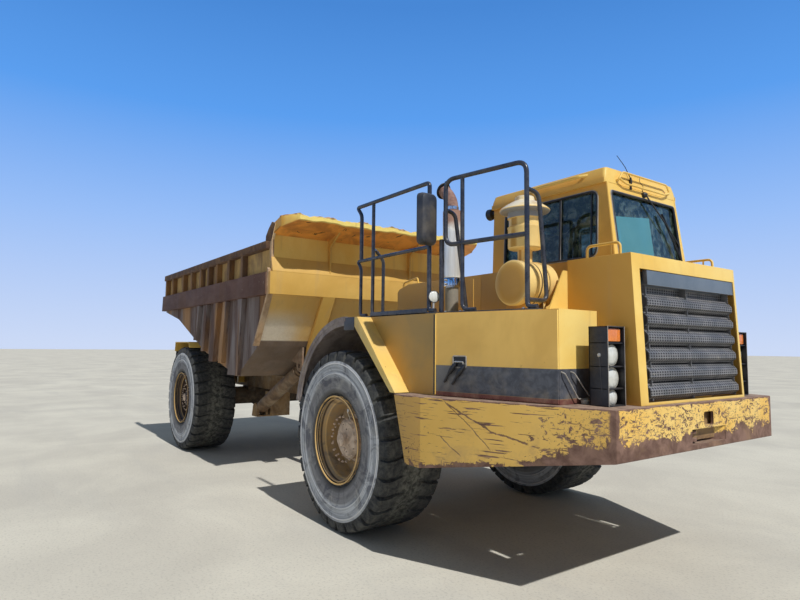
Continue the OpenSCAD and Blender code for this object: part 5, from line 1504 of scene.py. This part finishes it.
def make_canopy():
    b = Build()
    steps, wide = 96, 1.730
    root, middle = rx(BED_FRONT) + 0.001, rx(BED_FRONT + 0.28)
    rings = []
    for k in range(steps + 1):
        y = wide * (2 * k / steps - 1)
        tip = TIP - 0.290 * max(0.0, (abs(y) - 1.600) / 0.130)
        low = CANOPY_LOW + (CANOPY_LIP - CANOPY_LOW) * (tip - BED_FRONT) / (TIP - BED_FRONT)
        sag, bend, edge = waver(y, 1.0, 0.016), waver(y, 4.0, 0.022), waver(y * 2.2, 2.0, 0.026)
        x = rx(tip) + bend
        top = min(3.698, 3.676 + edge)
        section = ((root, CANOPY_LOW), (middle, CANOPY_LOW + 0.074 + sag * 0.5),
                   (x - 0.012, low + sag), (x, low + 0.014 + sag), (x + 0.004, top - 0.008),
                   (x - 0.006, top),
                   (x - 0.060 + edge * 0.6, top + 0.002), (x - 0.061 + edge * 0.6, top - 0.009),
                   (x - 0.014, top - 0.016), (x - 0.014, low + 0.024 + sag),
                   (middle, CANOPY_LOW + 0.085 + sag * 0.5), (root, CANOPY_LOW + 0.010))
        rings.append([(x, y, z) for x, z in section])
    b.loft(rings)

    def across(points, y0, y1, soft=0.004):
        b.plate(points, y0, y1, soft, rx)

    beam = BED_FRONT + 0.068
    b.look = 1
    across(rectangle(BED_FRONT, BAND_LOW, beam, BAND_HIGH), -1.775, 1.775, 0.008)
    across(((BED_FRONT, BAND_HIGH - 0.001), (beam, BAND_HIGH - 0.001), (beam, BAND_HIGH + 0.012),
            (BED_FRONT + 0.008, BAND_HIGH + 0.205), (BED_FRONT, BAND_HIGH + 0.205)), -1.740, 1.740)
    for y in (-0.862, 0.578):
        across(((BED_FRONT, BAND_HIGH + 0.05), (BED_FRONT + 0.062, BAND_HIGH + 0.02),
                (BED_FRONT + 0.062, CANOPY_LOW - 0.09), (BED_FRONT + 0.34, CANOPY_LOW + 0.094),
                (BED_FRONT, CANOPY_LOW + 0.003)), y, y + 0.024, 0.002)
    for side, _ in SIDES:
        b.look = 0
        across(((BED_FRONT, CANOPY_LOW), (4.170, CANOPY_LOW + 0.070), (4.172, 3.676), (BED_FRONT, 3.606)),
               side * wide, side * 1.718, 0)
        b.look = 1
        across(((BED_FRONT + 0.002, BAND_LOW + 0.001), (beam, BAND_LOW + 0.001), (3.545, 1.905),
                (3.484, 1.720),
                (3.442, 1.720), (3.484, 1.929)), side * 0.960, side * 0.760)
        b.look = 2
        across(((3.424, 1.932), (3.484, 1.932), (BED_FRONT, BAND_LOW), (BED_FRONT, BAND_HIGH + 0.03),
                (BED_FRONT - 0.04, BAND_HIGH + 0.06), (BED_FRONT - 0.04, BAND_LOW - 0.006)),
               side * 1.778, side * 1.700)
        across(((BED_FRONT - 0.055, BAND_HIGH + 0.18), (BED_FRONT + 0.004, BAND_HIGH + 0.12),
                (BED_FRONT + 0.004, 3.430), (BED_FRONT - 0.13, 3.430), (BED_FRONT - 0.13, 3.385),
                (BED_FRONT - 0.075, 3.380)), side * 1.738, side * 1.701)
        b.look = 3
        across(((3.700, 3.380), (3.905, 3.380), (4.020, 3.600), (3.905, 3.640), (3.800, 3.560),
                (3.710, 3.470)),
               side * 1.742, side * 1.701)
    b.dress("bed_canopy", "canopy beam flange ribs", "bed", sharp=30)


GUARD_Z, GUARD_BACK, GUARD_FRONT, GUARD_FOOT, RAIL_OUT = 1.980, -0.590, 0.310, 1.190, 0.520


def make_guards():
    """Plates over the rear wheels, bent down at both ends, on their brackets, and their rubber flaps."""
    b = Build()
    for side, _ in SIDES:
        outer = [(GUARD_BACK - 0.03, GUARD_Z - 0.16), (GUARD_BACK, GUARD_Z + 0.012),
                 (GUARD_FRONT, GUARD_Z + 0.012), (GUARD_FRONT + 0.055, GUARD_Z - 0.085)]
        inner = [(d + math.copysign(0.010, -d), z - 0.012) for d, z in reversed(outer)]
        b.plate(outer + inner, side * 1.775, side * 1.060, 0.002, rx)
        for out0, out1, low, high in ((1.070, RAIL_OUT + 0.070, GUARD_Z - 0.090, GUARD_Z - 0.001),
                                      (RAIL_OUT + 0.120, RAIL_OUT + 0.0005, GUARD_FOOT, GUARD_Z)):
            b.plate(rectangle(-0.200, low, -0.120, high), side * out0, side * out1, 0.003, rx)
        b.look = 1
        for d in (-0.5, -0.3, 0.0, 0.22):
            b.bolt((rx(d), side * 1.10, GUARD_Z + 0.011), UP, 0.012)
        b.look = 0
    b.dress("rear_mudguards", "guard zinc", "rear_unit")

    b = Build()
    for side, _ in SIDES:
        rows = []
        for k in range(13):
            x, z = rx(-0.628) - 0.02 * math.sin(k * 0.5) - 0.012 * k / 12, 1.850 - 0.36 * k / 12
            rows.append([(*point, z) for point in rectangle(x - 0.006, side * 1.12, x + 0.006,
                                                            side * 1.74)])
        b.loft(rows)
    b.done("rear_flaps", "hose", "rear_unit", "arch_rubber")


# Seat


def fix_shape(obj):
    """Puts the shape that the modifiers give into the object's mesh, which it returns."""
    mesh, old = applied(obj), obj.data
    obj.modifiers.clear()
    obj.data = mesh
    bpy.data.meshes.remove(old)
    return mesh


def cushion(name, low, high, lean=0.0, push=0.018):
    """A stuffed pad, swollen by cloth pressure and capped, with a sewn line round its middle."""
    b = Build()
    b.block(low, high, 0.030)
    middle = (Vector(low) + Vector(high)) / 2
    foot = Vector((middle.x, middle.y, low[2]))
    turn = Matrix.Translation(foot) @ Matrix.Rotation(lean, 4, "Y") @ Matrix.Translation(-foot)
    bmesh.ops.transform(b.bm, matrix=turn, verts=b.bm.verts)
    obj = b.done(name, "cloth", slot="seat_cloth")
    modifier = obj.modifiers.new("grid", "REMESH")
    modifier.mode, modifier.voxel_size = "VOXEL", 0.010
    start = [vert.co.copy() for vert in fix_shape(obj).vertices]
    cloth = obj.modifiers.new("swell", "CLOTH")
    cloth.settings.use_pressure = True
    cloth.settings.uniform_pressure_force = 4
    cloth.settings.effector_weights.gravity = 0
    cloth.point_cache.frame_start, cloth.point_cache.frame_end = 1, 20
    for number in range(1, 21):
        scene.frame_set(number)
    for vert, old in zip(fix_shape(obj).vertices, start):
        move = vert.co - old
        if move.length > push:
            vert.co = old + move.normalized() * push
    scene.frame_set(1)
    inverse = turn.inverted()
    for vert in obj.data.vertices:
        flat = inverse @ vert.co - middle
        if abs(flat.y) > (high[1] - low[1]) * 0.5 - 0.035 and abs(flat.z) < 0.006:
            vert.co += -flat.normalized() * 0.004
    for polygon in obj.data.polygons:
        polygon.use_smooth = True


SEAT_X, CAB_FLOOR = 1.500, 2.171


def make_seat():
    b = Build()
    x0, floor = fx(SEAT_X), CAB_FLOOR + 0.10
    b.block((x0 + 0.02, -0.23, CAB_FLOOR), (x0 + 0.40, 0.23, floor + 0.03), 0.006)
    for k in range(6):
        z = floor + 0.03 + k * 0.036
        inset = 0.02 * (k % 2)
        b.block((x0 + 0.04 + inset, -0.20 + inset, z), (x0 + 0.38 - inset, 0.20 - inset, z + 0.036), 0.008)
    b.block((x0 - 0.03, -0.25, floor + 0.246), (x0 + 0.45, 0.25, floor + 0.290), 0.012)
    for side, _ in SIDES:
        b.pipe([(x0 + out, side * 0.275, floor + z) for out,
                z in ((-0.01, 0.30), (-0.03, 0.52), (0.25, 0.54))],
               0.05, 5, 0.020)
    b.dress("cab_seat", "trim", slot="cab_trim")
    cushion("seat_cushion", (x0 - 0.01, -0.245, floor + 0.295), (x0 + 0.455, 0.245, floor + 0.400))
    cushion("seat_back", (x0 - 0.055, -0.235, floor + 0.42), (x0 + 0.035, 0.235, floor + 0.90), -0.14)
    cushion("seat_headrest", (x0 - 0.145, -0.13, floor + 0.925), (x0 - 0.075, 0.13, floor + 1.04), -0.14,
            0.012)


# Light, floor and background


def make_light():
    sun = bpy.data.objects.new("sun", bpy.data.lights.new("sun", "SUN"))
    sun.data.energy, sun.data.angle = 3.2, math.radians(0.9)
    sun.data.color = (1.0, 0.97, 0.90)
    sun.rotation_euler = Vector((0.63, -0.02, 0.77)).to_track_quat("Z", "Y").to_euler()
    scene.collection.objects.link(sun)
    scene.world = bpy.data.worlds.new("world")
    scene.world.use_nodes = True
    tree = scene.world.node_tree

    def add(kind, *sources):
        node = tree.nodes.new("ShaderNode" + kind)
        for k, source in enumerate(sources):
            tree.links.new(source, node.inputs[k])
        return node

    back = tree.nodes["Background"]
    back.inputs["Color"].default_value = (0.70, 0.84, 1.0, 1)
    back.inputs["Strength"].default_value = 0.24
    height = add("SeparateXYZ", add("TexCoord").outputs["Generated"]).outputs[2]
    sky = add("ValToRGB", height)
    ramp = sky.color_ramp
    ramp.elements[0].color = (0.60, 0.70, 0.92, 1)
    ramp.elements[1].position, ramp.elements[1].color = 0.52, (0.066, 0.245, 0.67, 1)
    for place, shade in ((0.20, (0.32, 0.52, 0.93, 1)), (0.37, (0.107, 0.345, 0.86, 1))):
        ramp.elements.new(place).color = shade
    rays = add("LightPath").outputs
    total = rays["Is Camera Ray"]
    for kind in ("Is Transmission Ray", "Is Glossy Ray"):
        most = add("Math", total, rays[kind])
        most.operation = "MAXIMUM"
        total = most.outputs[0]
    shown = add("MixShader", total, back.outputs[0], add("Background", sky.outputs[0]).outputs[0])
    tree.links.new(shown.outputs[0], tree.nodes["World Output"].inputs[0])


def make_floor():
    bpy.ops.mesh.primitive_plane_add(size=400)
    floor = bpy.context.object
    floor.name = "floor"
    s = Shader("floor")
    s.color = s.mottled((0.60, 0.575, 0.52), (0.73, 0.705, 0.63), 0.3, 0.7, 0.45, 7, 0.62, 0.4)
    sweep = s.stretch((0.25, 1.3, 1), (0, 0, 0.9))
    s.lay((0.52, 0.51, 0.49), s.patches(0.5, 0.75, 1.0, 6, 0.6, 0.5, sweep), 0.30)
    s.lay((0.34, 0.33, 0.31), s.patches(0.50, 0.66, 38, 4, 0.7), 0.35)
    s.bump(s.noise(50, 4, 0.7), 0.003, 0.5)
    floor.data.materials.append(s.finish(0.92, 0.15))


scene.view_settings.view_transform = "Standard"
make_camera()
make_light()
make_floor()
LOOK = make_materials()
for look, names in NODE_LOOKS.items():
    for name in names.split():
        nodes[name].data.materials.clear()
        nodes[name].data.materials.append(LOOK[look])

for end, axle in (("front", FRONT_AXLE), ("rear", REAR_AXLE)):
    for side, hand in SIDES:
        make_tyre(f"tyre_{end}_{hand}", axle, side * WHEEL_Y)
        make_hub(f"rim_{end}_{hand}", axle, side * WHEEL_Y, side)
for side, hand in SIDES:
    make_box(side, hand)
for make in (make_hood, make_grille, make_bumper, make_arches, make_rails, make_stack, make_air_cleaner,
             make_cab,
             make_roof, make_casing, make_mirrors, make_ribs, make_canopy, make_guards, make_lamp_boxes,
             make_seat,
             make_window_trim, make_wiper, make_work_lamps, make_rail_feet):
    make()
